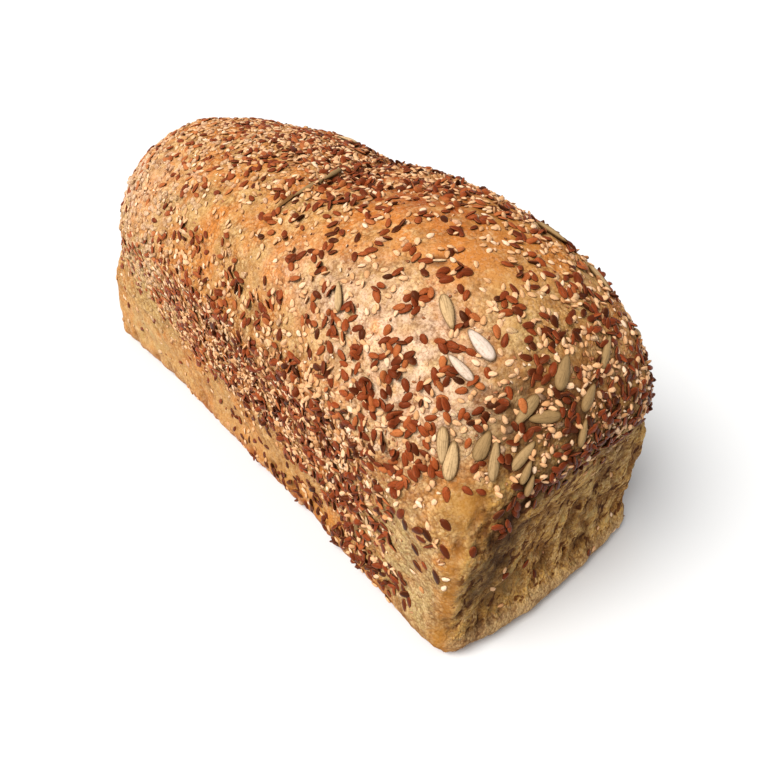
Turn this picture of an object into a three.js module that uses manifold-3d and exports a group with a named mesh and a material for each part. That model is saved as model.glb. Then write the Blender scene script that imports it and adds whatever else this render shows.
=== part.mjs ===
// Seeded sandwich loaf: one whole tin loaf with brown linseed, sesame and sunflower kernels on it.
// Millimetres, +Z up. X runs along the loaf, Y across it, and the flat base lies on z = 0.
// The end that shows in the photograph is at +X, and the long side that shows is at -Y.

import * as THREE from 'three';
import { mergeVertices } from 'three/addons/utils/BufferGeometryUtils.js';
import Module from 'manifold-3d';

const wasm = await Module();
wasm.setup();

// ---- Driving dimensions ----

const loaf = {
  nearHalf: 125.6, // from the origin to the end that shows, at the base
  farHalf: 129.4, // to the other end
  halfWidth: 52.5, // half the width at the base
  wallTop: 76.5, // height where the tin's wall ends and the dome starts
  crown: 124.0, // height of the dome
};

// How far the walls lean out over each millimetre of height.
const draft = { near: 0.08, far: 0.02, side: 0.08 };

// Radii of the loaf's edges: the upright ones at the base, and those of the dome.
const rounding = {
  base: 9.7,
  near: 79,
  far: 69,
  side: 52,
  foot: 7.5, // where the walls turn under
  fullness: 2.07, // 2 is a round dome, and more is a squarer one
  from: 42, // height where the walls begin to round off into the dome
  over: 46, // and the height that this takes
};

// The walls swell at the foot, sink in above it and hang over the tin's rim.
const wall = {
  lip: 2.6, // swell of the foot at the ends
  sideLip: 1.8,
  lipAt: 5.3, // its height
  lipDeep: 7.3,
  hollowAt: 30.6, // height where the walls sink in most
  hollowDeep: 23,
  endHollow: 3.1, // how far the ends sink in
  sideHollow: 1.5,
  endBow: 6.0, // how far the ends bow out at the base
  sideBow: -1.5,
  bowUp: 29,
  overhang: 1.4,
  overAt: 80.3,
  overDeep: 14.7,
};

// A slanting crease divides the dome in two, and the far half is a little lower.
const crease = {
  x: 7,
  slant: -0.27,
  deep: 3.6,
  wide: 9.5,
  evenness: 0.7, // its depth over the middle, as a share of that at the far side
  reach: 40, // how far across from the middle its depth changes
  farDrop: 2.5,
  dropFrom: 20,
  dropOver: 90,
};

// Broad swells and dents: place, reach along each axis, and height out of the crust.
const swells = [
  { at: [126, 50, 57], reach: [30, 26, 24], height: -4.4 }, // upright edge at the far right, drawn in
  { at: [127, 40, 76], reach: [14, 20, 10], height: 1.6 }, // and fuller above that
  { at: [-130, -48, 63], reach: [34, 30, 19], height: -4.4 }, // shoulder at the far left, drawn in
  { at: [-124, -54, 50], reach: [22, 20, 11], height: -2.4 }, // and a little further below it
  { at: [-131, -46, 16], reach: [26, 22, 16], height: 2.6 }, // foot below it, standing out
  { at: [-90, -14, 116], reach: [30, 30, 20], height: 1.3 }, // the far half's crest
  { at: [-72, 24, 119], reach: [20, 16, 14], height: -3.0 }, // behind it the dome is flatter
  { at: [-44, 34, 116], reach: [16, 18, 14], height: 1.4 }, // and then fuller, up to the crease
  { at: [-20, 34, 118], reach: [12, 16, 14], height: -1.4 },
  { at: [62, 16, 122], reach: [36, 40, 30], height: 1.6 }, // the near half's crest
  { at: [84, 40, 113], reach: [36, 20, 20], height: -3.2 }, // and behind this one too
  { at: [12, -52, 105], reach: [34, 14, 7], height: 1.8 }, // floury ridge along the shoulder
  { at: [14, -56, 90], reach: [42, 14, 9], height: -2.0 }, // hollow under that ridge
  { at: [122, -44, 70], reach: [9, 9, 8], height: 1.2 }, // browned knob where dome and upright edge meet
  { at: [131, 8, 36], reach: [12, 26, 12], height: -1.2 }, // hollow low in the near end
  { at: [113, -53, 6], reach: [9, 8, 12], height: 1.6 }, // the foot of the long side is wavy
  { at: [47, -53, 6], reach: [11, 8, 12], height: -2.2 },
  { at: [-58, -53, 6], reach: [14, 8, 12], height: -1.8 },
];

// Slight waves all over the crust: wavelength and height. They run askew to the loaf.
const waves = [
  { length: 61, height: 0.55 },
  { length: 37, height: 0.4 },
  { length: 23, height: 0.3 },
];
const askew = { x: 0.4, y: -0.3, z: 0.5, start: 11 };

// Grid of the crust: steps along X, Y and Z, with the rows of Z closer together near the foot.
const grid = { alongX: 29, alongY: 12, alongZ: 12, crowding: 1.3 };

// Rays start on a line inside the loaf, and each finds its crust by halving its way there.
const spine = { half: 78, height: 50, reach: 170, halvings: 24 };

// Flat seeds, drawn in towards the tip, and bedded with a little more than half their height showing.
const kernelSize = { length: 10.4, width: 4.4, thickness: 2.5, sides: 6, rings: 4 };
const linseedSize = { length: 4.8, width: 2.6, thickness: 1.25, sides: 5, rings: 3 };
const seedShape = {
  slimTip: 0.22,
  slimFrom: -0.8,
  slimOver: 1.6,
  lift: 0.12,
  leastScale: 0.85,
  scaleRange: 0.3,
};

// Sunflower kernels that show: where the tip and the round end lie, and the width.
const kernels = [
  { tip: [99, -32, 109], tail: [109, -31, 103], width: 4.7 },
  { tip: [96, -35, 108], tail: [87, -31, 114], width: 4.1 },
  { tip: [99, -39, 103], tail: [108, -37, 98], width: 3.2 },
  { tip: [119, -12, 103], tail: [123, -20, 96], width: 4.9 },
  { tip: [121, -33, 89], tail: [121, -25, 96], width: 4.2 },
  { tip: [122, -29, 90], tail: [127, -21, 91], width: 4.2 },
  { tip: [126, -29, 85], tail: [125, -36, 77], width: 3.8 },
  { tip: [119, -37, 85], tail: [123, -41, 74], width: 3.4 },
  { tip: [117, -38, 87], tail: [118, -43, 79], width: 4.6 },
  { tip: [111, -49, 76], tail: [107, -46, 86], width: 3.8 },
  { tip: [111, -45, 83], tail: [114, -49, 72], width: 4.7 },
  { tip: [127, -31, 80], tail: [127, -34, 73], width: 2.8 },
  { tip: [129, -31, 76], tail: [129, -33, 69], width: 2.6 },
  { tip: [90, 21, 117], tail: [78, 20, 120], width: 4.0 },
  { tip: [120, 8, 103], tail: [125, -1, 97], width: 3.4 },
  { tip: [58, -45, 109], tail: [64, -50, 103], width: 2.8 },
  { tip: [12, -31, 118], tail: [12, -18, 121], width: 2.4 },
  { tip: [14, -19, 120], tail: [8, -7, 121], width: 2.6 },
  { tip: [5, -8, 122], tail: [2, 2, 122], width: 3.2 },
  { tip: [126, -7, 95], tail: [129, -14, 90], width: 4.4 },
  { tip: [130, -13, 88], tail: [132, -16, 80], width: 3.0 },
];

// More kernels lie on the side away from the viewer and at the far end, and linseeds lie all over.
const scatter = {
  kernels: 22,
  kernelGap: 17,
  behind: 26, // y past which those kernels lie
  beyond: -118, // or x short of which they do
  linseeds: 128,
  linseedGap: 11,
  tries: 30000,
};
const firstSeed = 20417;

// Heights where the seeds begin on the long sides and on the ends, and over which they thicken.
const seedLine = {
  endFrom: 106,
  endOver: 14,
  sideFrom: 9,
  sideOver: 12,
  upperFrom: 46,
  upperOver: 34,
  least: 0.06,
};

// Places with fewer seeds: centre, reach, and the share of the seeds that is missing there.
const barePlaces = [
  { at: [12, -50, 104], reach: [36, 14, 8], missing: 0.9 }, // the floury ridge
  { at: [106, -54, 40], reach: [24, 14, 28], missing: 0.95 }, // low on the long side, near the end
  { at: [70, -34, 112], reach: [40, 16, 10], missing: 0.55 }, // the dome's bright side
  { at: [-104, -52, 84], reach: [30, 14, 26], missing: 0.5 }, // far part of the long side
  { at: [124, 0, 44], reach: [14, 44, 22], missing: 0.6 }, // hollow of the near end
];

// ---- The loaf's form ----

function clamp(value, low, high) {
  return Math.min(Math.max(value, low), high);
}

function smooth(t) {
  const s = clamp(t, 0, 1);
  return s * s * (3 - 2 * s);
}

function bell(t) {
  return Math.exp(-t * t);
}

// A bell in three directions, 1 at the place's centre.
function nearness([x, y, z], { at, reach }) {
  const dx = (x - at[0]) / reach[0];
  const dy = (y - at[1]) / reach[1];
  const dz = (z - at[2]) / reach[2];
  return Math.exp(-dx * dx - dy * dy - dz * dz);
}

// Half length and half width of the loaf at a point.
function halfSizes(x, y, z) {
  const up = clamp(z, 0, loaf.wallTop);
  const lip = bell((z - wall.lipAt) / wall.lipDeep);
  const hollow = bell((z - wall.hollowAt) / wall.hollowDeep);
  const over = wall.overhang * bell((z - wall.overAt) / wall.overDeep);
  const low = bell(z / wall.bowUp);
  const acrossShare = clamp(y / loaf.halfWidth, -1, 1) ** 2;
  const alongShare = clamp(x / loaf.nearHalf, -1, 1) ** 2;
  const plainEnd = x < 0 ? loaf.farHalf + draft.far * up : loaf.nearHalf + draft.near * up;
  const endCurve = (1 - acrossShare) * (wall.endBow * low - wall.endHollow * hollow);
  const sideCurve = (1 - alongShare) * wall.sideBow * low - (1 - alongShare ** 2) * wall.sideHollow * hollow;
  return {
    end: plainEnd + wall.lip * lip + over + endCurve,
    side: loaf.halfWidth + draft.side * up + wall.sideLip * lip + over + sideCurve,
  };
}

// Height of the dome's roof, with the crease across it.
function roof(x, y) {
  const drop = crease.farDrop * smooth((crease.dropFrom - x) / crease.dropOver);
  const depth = crease.deep * THREE.MathUtils.lerp(clamp(y / crease.reach, -1, 1), 1, crease.evenness);
  return loaf.crown - drop - depth * bell((x - crease.x - crease.slant * y) / crease.wide);
}

// Below 1 inside the loaf and above 1 outside it.
function fill(x, y, z) {
  const up = smooth((z - rounding.from) / rounding.over);
  const { end, side } = halfSizes(x, y, z);
  const topRound = x < 0 ? rounding.far : rounding.near;
  const endRound = THREE.MathUtils.lerp(rounding.base, topRound, up);
  const sideRound = THREE.MathUtils.lerp(rounding.base, rounding.side, up);
  const power = THREE.MathUtils.lerp(2, rounding.fullness, up);
  const qx = Math.max(1 - (end - Math.abs(x)) / endRound, 0);
  const qy = Math.max(1 - (side - Math.abs(y)) / sideRound, 0);
  const qz = Math.max((z - loaf.wallTop) / (roof(x, y) - loaf.wallTop), 0);
  const footDown = clamp(1 - z / rounding.foot, 0, 1);
  const footEnd = Math.max(1 - (end - Math.abs(x)) / rounding.foot, 0);
  const footSide = Math.max(1 - (side - Math.abs(y)) / rounding.foot, 0);
  const body = qx ** power + qy ** power + qz ** power;
  const foot = footDown ** 2 + Math.max(footEnd, footSide) ** 2;
  return Math.max(body, foot);
}

// Height of the crust over the plain form.
function relief(point) {
  let height = 0;
  for (const swell of swells) {
    height += swell.height * nearness(point, swell);
  }
  const [x, y, z] = point;
  for (const wave of waves) {
    const k = (2 * Math.PI) / wave.length;
    const along = Math.sin(k * (x + askew.x * z));
    const across = Math.sin(k * (y + askew.y * x + askew.start));
    const upwards = Math.cos(k * (z + askew.z * y));
    height += wave.height * along * across * upwards;
  }
  return height;
}

// The crust's point on the ray from the spine through a point, and that ray's direction.
function castOut(x, y, z, floor) {
  const start = new THREE.Vector3(clamp(x, -spine.half, spine.half), 0, spine.height);
  const ray = new THREE.Vector3(x, y, z).sub(start).normalize();
  let inner = 0;
  let outer = spine.reach;
  for (let i = 0; i < spine.halvings; i++) {
    const middle = (inner + outer) / 2;
    const p = start.clone().addScaledVector(ray, middle);
    const inside = p.z > floor && fill(p.x, p.y, Math.max(p.z, 0)) < 1;
    if (inside) inner = middle;
    else outer = middle;
  }
  const found = start.addScaledVector(ray, inner);
  return { point: found, ray };
}

// ---- Solids ----

function solidOf(geometry) {
  const bare = geometry.clone();
  bare.deleteAttribute('normal');
  bare.deleteAttribute('uv');
  const merged = mergeVertices(bare, 1e-4);
  const vertProperties = new Float32Array(merged.attributes.position.array);
  const triVerts = new Uint32Array(merged.index.array);
  return new wasm.Manifold(new wasm.Mesh({ numProp: 3, vertProperties, triVerts }));
}

function geometryOf(solid) {
  const mesh = solid.getMesh();
  const geometry = new THREE.BufferGeometry();
  geometry.setAttribute('position', new THREE.BufferAttribute(mesh.vertProperties, 3));
  geometry.setIndex(new THREE.BufferAttribute(mesh.triVerts, 1));
  return geometry;
}

// The bare loaf: a box's skin cast out to the crust, and cut flat where it rests.
function crustSolid() {
  const below = 2;
  const long = loaf.nearHalf + loaf.farHalf;
  const tall = loaf.crown - below;
  const skin = new THREE.BoxGeometry(long, 2 * loaf.halfWidth, tall, grid.alongX, grid.alongY, grid.alongZ);
  const position = skin.attributes.position;
  for (let i = 0; i < position.count; i++) {
    const share = position.getZ(i) / tall + 0.5;
    const z = tall * share ** grid.crowding;
    const { point, ray } = castOut(position.getX(i), position.getY(i), z, -below);
    const settled = smooth(point.z / rounding.foot);
    point.addScaledVector(ray, settled * relief(point.toArray()));
    position.setXYZ(i, point.x, point.y, point.z);
  }
  const ground = new THREE.BoxGeometry(2 * long, 4 * loaf.halfWidth, 4 * below).translate(0, 0, -2 * below);
  return solidOf(skin).subtract(solidOf(ground));
}

// A flat seed with its tip towards +X: a sphere stretched, and drawn in towards the tip.
function seedGeometry({ length, width, thickness, sides, rings }) {
  const seed = new THREE.SphereGeometry(1, sides, rings).rotateZ(-Math.PI / 2);
  const position = seed.attributes.position;
  for (let i = 0; i < position.count; i++) {
    const x = position.getX(i);
    const slim = 1 - seedShape.slimTip * (x + 1) * smooth((x - seedShape.slimFrom) / seedShape.slimOver);
    position.setXYZ(i, x, position.getY(i) * slim, position.getZ(i) * slim);
  }
  return seed.scale(length / 2, width / 2, thickness / 2);
}

// ---- Where the seeds lie ----

// No facet of the crust faces just this way, so a seed's turn can be counted from it.
const offUpright = new THREE.Vector3(0.3, 0.2, 1).normalize();

// Random numbers from 0 to 1, the same in every run.
function randomFrom(seed) {
  let state = seed;
  return () => {
    state = (state + 0x6d2b79f5) | 0;
    let t = Math.imul(state ^ (state >>> 15), 1 | state);
    t = (t + Math.imul(t ^ (t >>> 7), 61 | t)) ^ t;
    return ((t ^ (t >>> 14)) >>> 0) / 4294967296;
  };
}

// How thickly the seeds lie at a point, from 0 to 1. The foot and the low part of the ends have few.
function seeding([x, y, z]) {
  const endShare = smooth((Math.abs(x) - seedLine.endFrom) / seedLine.endOver);
  const sides = smooth((z - seedLine.sideFrom) / seedLine.sideOver);
  const ends = THREE.MathUtils.lerp(seedLine.least, 1, smooth((z - seedLine.upperFrom) / seedLine.upperOver));
  let share = THREE.MathUtils.lerp(sides, ends, endShare);
  for (const place of barePlaces) {
    share *= 1 - place.missing * nearness([x, y, z], place);
  }
  return share;
}

// A point of the box round the loaf, for a ray to aim at. The base has none.
function boxPoint(random) {
  const across = 2 * loaf.halfWidth;
  const around = across + 2 * loaf.crown;
  const long = loaf.nearHalf + loaf.farHalf;
  const endsShare = (2 * across * loaf.crown) / (around * long + 2 * across * loaf.crown);
  const pick = random();
  const a = random();
  const b = random();
  if (pick < endsShare) {
    const x = pick < endsShare / 2 ? loaf.nearHalf : -loaf.farHalf;
    return [x, (a - 0.5) * across, b * loaf.crown];
  }
  const x = a * long - loaf.farHalf;
  const turn = b * around - loaf.crown;
  if (turn < 0) return [x, -loaf.halfWidth, loaf.crown + turn];
  if (turn > across) return [x, loaf.halfWidth, loaf.crown - (turn - across)];
  return [x, turn - loaf.halfWidth, loaf.crown];
}

function anywhere() {
  return true;
}

function outOfSight(point) {
  return point.y > scatter.behind || point.x < scatter.beyond;
}

// Spots for one kind of seed, each in an allowed place and at least a gap away from all that are there.
function spread(count, gap, allowed, random, taken) {
  const spots = [];
  for (let i = 0; i < scatter.tries && spots.length < count; i++) {
    const { point } = castOut(...boxPoint(random), 0);
    const wanted = random() < seeding(point.toArray());
    const turn = random() * 2 * Math.PI;
    const size = seedShape.leastScale + seedShape.scaleRange * random();
    if (wanted && allowed(point) && taken.every((other) => other.distanceTo(point) > gap)) {
      taken.push(point);
      spots.push({ point, turn, size });
    }
  }
  return spots;
}

// The facet of the crust that lies under a point, so that a seed is bedded in it.
function bedOn(crust, aim) {
  const { ray } = castOut(aim.x, aim.y, aim.z, 0);
  const start = new THREE.Vector3(clamp(aim.x, -spine.half, spine.half), 0, spine.height);
  const hit = new THREE.Raycaster(start, ray).intersectObject(crust)[0];
  return { point: hit.point, normal: hit.face.normal };
}

// A seed lying on the crust, with its tip the given way.
function laidSeed(size, bed, heading) {
  const side = new THREE.Vector3().crossVectors(bed.normal, heading).normalize();
  const along = new THREE.Vector3().crossVectors(side, bed.normal);
  const frame = new THREE.Matrix4().makeBasis(along, side, bed.normal);
  frame.setPosition(bed.point.clone().addScaledVector(bed.normal, seedShape.lift * size.thickness));
  return solidOf(seedGeometry(size).applyMatrix4(frame));
}

function scaledSize(size, scale) {
  return { ...size, length: size.length * scale, width: size.width * scale };
}

function shownKernels(crust, taken) {
  return kernels.map(({ tip, tail, width }) => {
    const from = new THREE.Vector3(...tail);
    const to = new THREE.Vector3(...tip);
    const middle = from.clone().lerp(to, 0.5);
    taken.push(middle);
    const size = { ...kernelSize, length: from.distanceTo(to), width };
    return laidSeed(size, bedOn(crust, middle), to.sub(from));
  });
}

function scatteredSeeds(crust, size, spots) {
  return spots.map((spot) => {
    const bed = bedOn(crust, spot.point);
    const level = new THREE.Vector3().crossVectors(offUpright, bed.normal).normalize();
    const heading = level.applyAxisAngle(bed.normal, spot.turn);
    return laidSeed(scaledSize(size, spot.size), bed, heading);
  });
}

// ---- The loaf ----

function makeLoaf() {
  const bare = crustSolid();
  const crust = new THREE.Mesh(geometryOf(bare), new THREE.MeshBasicMaterial({ side: THREE.DoubleSide }));
  const random = randomFrom(firstSeed);
  const taken = [];
  const shown = shownKernels(crust, taken);
  const moreKernels = spread(scatter.kernels, scatter.kernelGap, outOfSight, random, taken);
  const linseeds = spread(scatter.linseeds, scatter.linseedGap, anywhere, random, taken);
  const seeds = [
    ...shown,
    ...scatteredSeeds(crust, kernelSize, moreKernels),
    ...scatteredSeeds(crust, linseedSize, linseeds),
  ];
  const joined = seeds.reduce((whole, seed) => whole.add(seed), bare);
  // Fusing may seal small hollows between seeds, so only the outer body is kept.
  const bodies = joined.decompose().sort((a, b) => b.volume() - a.volume());
  return geometryOf(bodies[0]);
}

const crustMaterial = new THREE.MeshStandardMaterial({ color: 0xc1905a, roughness: 0.85, metalness: 0 });
const loafMesh = new THREE.Mesh(makeLoaf(), crustMaterial);
loafMesh.name = 'loaf';

const sandwichLoaf = new THREE.Group();
sandwichLoaf.add(loafMesh);

export default sandwichLoaf;
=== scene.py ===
import itertools
import math

import bmesh
import bpy
import numpy as np
from mathutils import Matrix, Vector, noise
from mathutils.bvhtree import BVHTree
from mathutils.kdtree import KDTree


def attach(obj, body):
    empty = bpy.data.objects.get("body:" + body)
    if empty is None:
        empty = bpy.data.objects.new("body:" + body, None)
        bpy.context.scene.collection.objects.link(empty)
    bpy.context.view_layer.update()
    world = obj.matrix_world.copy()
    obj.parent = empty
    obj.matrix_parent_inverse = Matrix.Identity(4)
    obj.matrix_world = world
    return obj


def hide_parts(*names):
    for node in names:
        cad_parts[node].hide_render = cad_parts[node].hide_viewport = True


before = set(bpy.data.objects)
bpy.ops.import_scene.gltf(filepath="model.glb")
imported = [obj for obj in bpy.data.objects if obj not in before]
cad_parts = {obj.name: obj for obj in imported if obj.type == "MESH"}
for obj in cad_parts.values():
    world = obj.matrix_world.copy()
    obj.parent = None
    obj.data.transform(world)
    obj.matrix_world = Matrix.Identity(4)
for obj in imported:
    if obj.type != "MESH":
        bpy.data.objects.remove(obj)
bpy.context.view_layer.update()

# Seeded sandwich loaf. Forms are worked out in millimetres and leave in metres.
# +X is the end that shows, -Y the long side that shows, and the base lies on z = 0.

millimetre = 0.001
print("frame loaded")

cameraView = {
    "turn": 47.52,  # degrees round from the long side that shows
    "rise": 35.79,
    "roll": 3.83,
    "distance": 293.7,  # mm from the middle of the loaf
    "middleHeight": 52.5,
    "focalPixels": 657.7,
    "framePixels": 768.0,
    "sensor": 36.0,
    "offAcross": -42.55,  # pixels from the frame's centre to the loaf's middle
    "offDown": -62.56,
    "nearest": 0.01,  # metres
}


def makeCamera():
    turn, rise, roll = (math.radians(cameraView[key]) for key in ("turn", "rise", "roll"))
    level = Vector((math.cos(turn), math.sin(turn), 0))
    back = Vector((math.sin(turn) * math.cos(rise), -math.cos(turn) * math.cos(rise), math.sin(rise)))
    upright = level.cross(-back)
    right = math.cos(roll) * level + math.sin(roll) * upright
    up = -math.sin(roll) * level + math.cos(roll) * upright
    perPixel = cameraView["distance"] / cameraView["focalPixels"]
    place = Vector((0, 0, cameraView["middleHeight"])) + back * cameraView["distance"]
    place += (up * cameraView["offDown"] - right * cameraView["offAcross"]) * perPixel
    data = bpy.data.cameras.new("camera")
    data.sensor_width = cameraView["sensor"]
    data.lens = cameraView["sensor"] * cameraView["focalPixels"] / cameraView["framePixels"]
    data.clip_start = cameraView["nearest"]
    camera = bpy.data.objects.new("camera", data)
    bpy.context.scene.collection.objects.link(camera)
    turned = Matrix((right, up, back)).transposed().to_4x4()
    camera.matrix_world = Matrix.Translation(place * millimetre) @ turned
    bpy.context.scene.camera = camera


makeCamera()

studio = {
    "floorSide": 30.0,  # metres
    "floorColour": "#DBDBDB",
    "floorRough": 0.95,
    "keyFrom": (-0.05, -0.66, 0.75),
    "keyStrength": 4.85,
    "keySpread": 38.0,  # degrees, as a large soft box near the loaf
    "keyColour": "#FFFEFC",
    "skyColour": "#FAFBFC",
    "skyStrength": 0.45,
    "backdropStrength": 1.5,  # what shows behind the floor's edge
}


def linear(code):
    # sRGB hex to the linear colour that a shader takes
    channels = [int(code[i:i + 2], 16) / 255 for i in (1, 3, 5)]
    return tuple(c / 12.92 if c <= 0.04045 else ((c + 0.055) / 1.055) ** 2.4 for c in channels) + (1.0,)


def addNode(material, kind, inputs=None, stops=None, **settings):
    # One node with its settings, its inputs' values or links, and a ramp's stops.
    made = material.node_tree.nodes.new(kind)
    for name, value in settings.items():
        setattr(made, name, value)
    for key, value in (inputs or {}).items():
        if isinstance(value, bpy.types.NodeSocket):
            material.node_tree.links.new(value, made.inputs[key])
        else:
            made.inputs[key].default_value = value
    if stops:
        elements = made.color_ramp.elements
        while len(elements) < len(stops):
            elements.new(0.5)
        for element, (position, colour) in zip(elements, stops):
            element.position = position
            element.color = colour
    return made


def newMaterial(name):
    material = bpy.data.materials.new(name)
    material.use_nodes = True
    material.node_tree.nodes.clear()
    return material


def finishMaterial(material, shader):
    addNode(material, "ShaderNodeOutputMaterial", {"Surface": shader.outputs[0]})
    return material


def makeStudio():
    bm = bmesh.new()
    bmesh.ops.create_grid(bm, x_segments=1, y_segments=1, size=studio["floorSide"] / 2)
    data = bpy.data.meshes.new("floor")
    bm.to_mesh(data)
    bm.free()
    floor = bpy.data.objects.new("floor", data)
    bpy.context.scene.collection.objects.link(floor)
    # Matt white paper sweep: bright and without gloss.
    paper = newMaterial("matt paper")
    matt = {"Base Color": linear(studio["floorColour"]), "Roughness": studio["floorRough"]}
    shader = addNode(paper, "ShaderNodeBsdfPrincipled", matt)
    floor.data.materials.append(finishMaterial(paper, shader))
    key = bpy.data.lights.new("key", "SUN")
    key.energy = studio["keyStrength"]
    key.angle = math.radians(studio["keySpread"])
    key.color = linear(studio["keyColour"])[:3]
    lamp = bpy.data.objects.new("key", key)
    lamp.rotation_euler = Vector(studio["keyFrom"]).to_track_quat("Z", "Y").to_euler()
    bpy.context.scene.collection.objects.link(lamp)
    world = bpy.data.worlds.new("studio")
    world.use_nodes = True
    world.node_tree.nodes.clear()
    sky = {"Color": linear(studio["skyColour"]), "Strength": studio["skyStrength"]}
    backdrop = {"Color": linear(studio["floorColour"]), "Strength": studio["backdropStrength"]}
    seen = addNode(world, "ShaderNodeLightPath").outputs["Is Camera Ray"]
    lit = addNode(world, "ShaderNodeBackground", sky).outputs[0]
    shown = addNode(world, "ShaderNodeBackground", backdrop).outputs[0]
    both = addNode(world, "ShaderNodeMixShader", {0: seen, 1: lit, 2: shown})
    addNode(world, "ShaderNodeOutputWorld", {"Surface": both.outputs[0]})
    scene = bpy.context.scene
    scene.world = world
    scene.view_settings.view_transform = "Standard"
    scene.view_settings.look = "None"


makeStudio()
print("camera, floor and light made")

# The loaf's plain form, in millimetres, with the same numbers as the solid's source.
loaf = {
    "nearHalf": 125.6,
    "farHalf": 129.4,
    "halfWidth": 52.5,
    "wallTop": 76.5,
    "crown": 124.0,
}
draft = {"near": 0.08, "far": 0.02, "side": 0.08}
rounding = {
    "base": 9.7,
    "near": 79.0,
    "far": 69.0,
    "side": 52.0,
    "foot": 7.5,
    "fullness": 2.07,
    "start": 42.0,
    "over": 46.0,
}
wall = {
    "lip": 2.6,
    "sideLip": 1.8,
    "lipAt": 5.3,
    "lipDeep": 7.3,
    "hollowAt": 30.6,
    "hollowDeep": 23.0,
    "endHollow": 3.1,
    "sideHollow": 1.5,
    "endBow": 6.0,
    "sideBow": -1.5,
    "bowUp": 29.0,
    "overhang": 1.4,
    "overAt": 80.3,
    "overDeep": 14.7,
}
crease = {
    "x": 7.0,
    "slant": -0.27,
    "deep": 3.6,
    "wide": 9.5,
    "evenness": 0.7,
    "reach": 40.0,
    "farDrop": 2.5,
    "dropFrom": 20.0,
    "dropOver": 90.0,
}
# Swells and dents. In every list of places: centre, reach, and how much of it there is.
swells = [
    (126, 50, 57, 30, 26, 24, -4.4),
    (127, 40, 76, 14, 20, 10, 1.6),
    (-130, -48, 63, 34, 30, 19, -4.4),
    (-124, -54, 50, 22, 20, 11, -2.4),
    (-131, -46, 16, 26, 22, 16, 2.6),
    (-90, -14, 116, 30, 30, 20, 1.3),
    (-72, 24, 119, 20, 16, 14, -3.0),
    (-44, 34, 116, 16, 18, 14, 1.4),
    (-20, 34, 118, 12, 16, 14, -1.4),
    (62, 16, 122, 36, 40, 30, 1.6),
    (84, 40, 113, 36, 20, 20, -3.2),
    (12, -52, 105, 34, 14, 7, 1.8),
    (14, -56, 90, 42, 14, 9, -2.0),
    (122, -44, 70, 9, 9, 8, 1.2),
    (131, 8, 36, 12, 26, 12, -1.2),
    (113, -53, 6, 9, 8, 12, 1.6),
    (47, -53, 6, 11, 8, 12, -2.2),
    (-58, -53, 6, 14, 8, 12, -1.8),
]
waves = [(61.0, 0.55), (37.0, 0.4), (23.0, 0.3)]  # wavelength and height
askew = {"x": 0.4, "y": -0.3, "z": 0.5, "start": 11.0}
spine = {"half": 78.0, "height": 50.0, "reach": 170.0, "halvings": 24}


def smooth(t):
    s = np.clip(t, 0.0, 1.0)
    return s * s * (3 - 2 * s)


def rising(value, start, over):
    # 0 up to the start, and 1 from where it is over
    return smooth((value - start) / over)


def falling(value, start, over):
    # 0 above the start, and 1 a span below it
    return smooth((start - value) / over)


def bell(t):
    return np.exp(-t * t)


def blendOf(a, b, t):
    return a + (b - a) * t


def nearness(points, place):
    # 1 at the place's centre, and falling off over its reach
    away = (points - np.array(place[:3])) / np.array(place[3:6])
    return np.exp(-(away ** 2).sum(axis=1))


def leftAt(points, places, left=1.0):
    # what is left once each place has taken its share
    for place in places:
        left = left * (1 - place[6] * nearness(points, place))
    return left


def shareAt(points, places):
    return 1 - leftAt(points, places)


def halfSizes(x, y, z):
    up = np.clip(z, 0, loaf["wallTop"])
    lip = bell((z - wall["lipAt"]) / wall["lipDeep"])
    hollow = bell((z - wall["hollowAt"]) / wall["hollowDeep"])
    over = wall["overhang"] * bell((z - wall["overAt"]) / wall["overDeep"])
    low = bell(z / wall["bowUp"])
    across = np.clip(y / loaf["halfWidth"], -1, 1) ** 2
    along = np.clip(x / loaf["nearHalf"], -1, 1) ** 2
    farEnd = loaf["farHalf"] + draft["far"] * up
    nearEnd = loaf["nearHalf"] + draft["near"] * up
    endCurve = (1 - across) * (wall["endBow"] * low - wall["endHollow"] * hollow)
    sideCurve = (1 - along) * wall["sideBow"] * low - (1 - along ** 2) * wall["sideHollow"] * hollow
    end = np.where(x < 0, farEnd, nearEnd) + wall["lip"] * lip + over + endCurve
    side = loaf["halfWidth"] + draft["side"] * up + wall["sideLip"] * lip + over + sideCurve
    return end, side


def roof(x, y):
    drop = crease["farDrop"] * falling(x, crease["dropFrom"], crease["dropOver"])
    depth = crease["deep"] * blendOf(np.clip(y / crease["reach"], -1, 1), 1, crease["evenness"])
    return loaf["crown"] - drop - depth * bell((x - crease["x"] - crease["slant"] * y) / crease["wide"])


def fill(x, y, z):
    # below 1 inside the loaf and above 1 outside it
    up = rising(z, rounding["start"], rounding["over"])
    end, side = halfSizes(x, y, z)
    endRound = blendOf(rounding["base"], np.where(x < 0, rounding["far"], rounding["near"]), up)
    sideRound = blendOf(rounding["base"], rounding["side"], up)
    power = blendOf(2.0, rounding["fullness"], up)
    qx = np.maximum(1 - (end - np.abs(x)) / endRound, 0)
    qy = np.maximum(1 - (side - np.abs(y)) / sideRound, 0)
    qz = np.maximum((z - loaf["wallTop"]) / (roof(x, y) - loaf["wallTop"]), 0)
    footDown = np.clip(1 - z / rounding["foot"], 0, 1)
    footEnd = np.maximum(1 - (end - np.abs(x)) / rounding["foot"], 0)
    footSide = np.maximum(1 - (side - np.abs(y)) / rounding["foot"], 0)
    body = qx ** power + qy ** power + qz ** power
    return np.maximum(body, footDown ** 2 + np.maximum(footEnd, footSide) ** 2)


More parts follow.
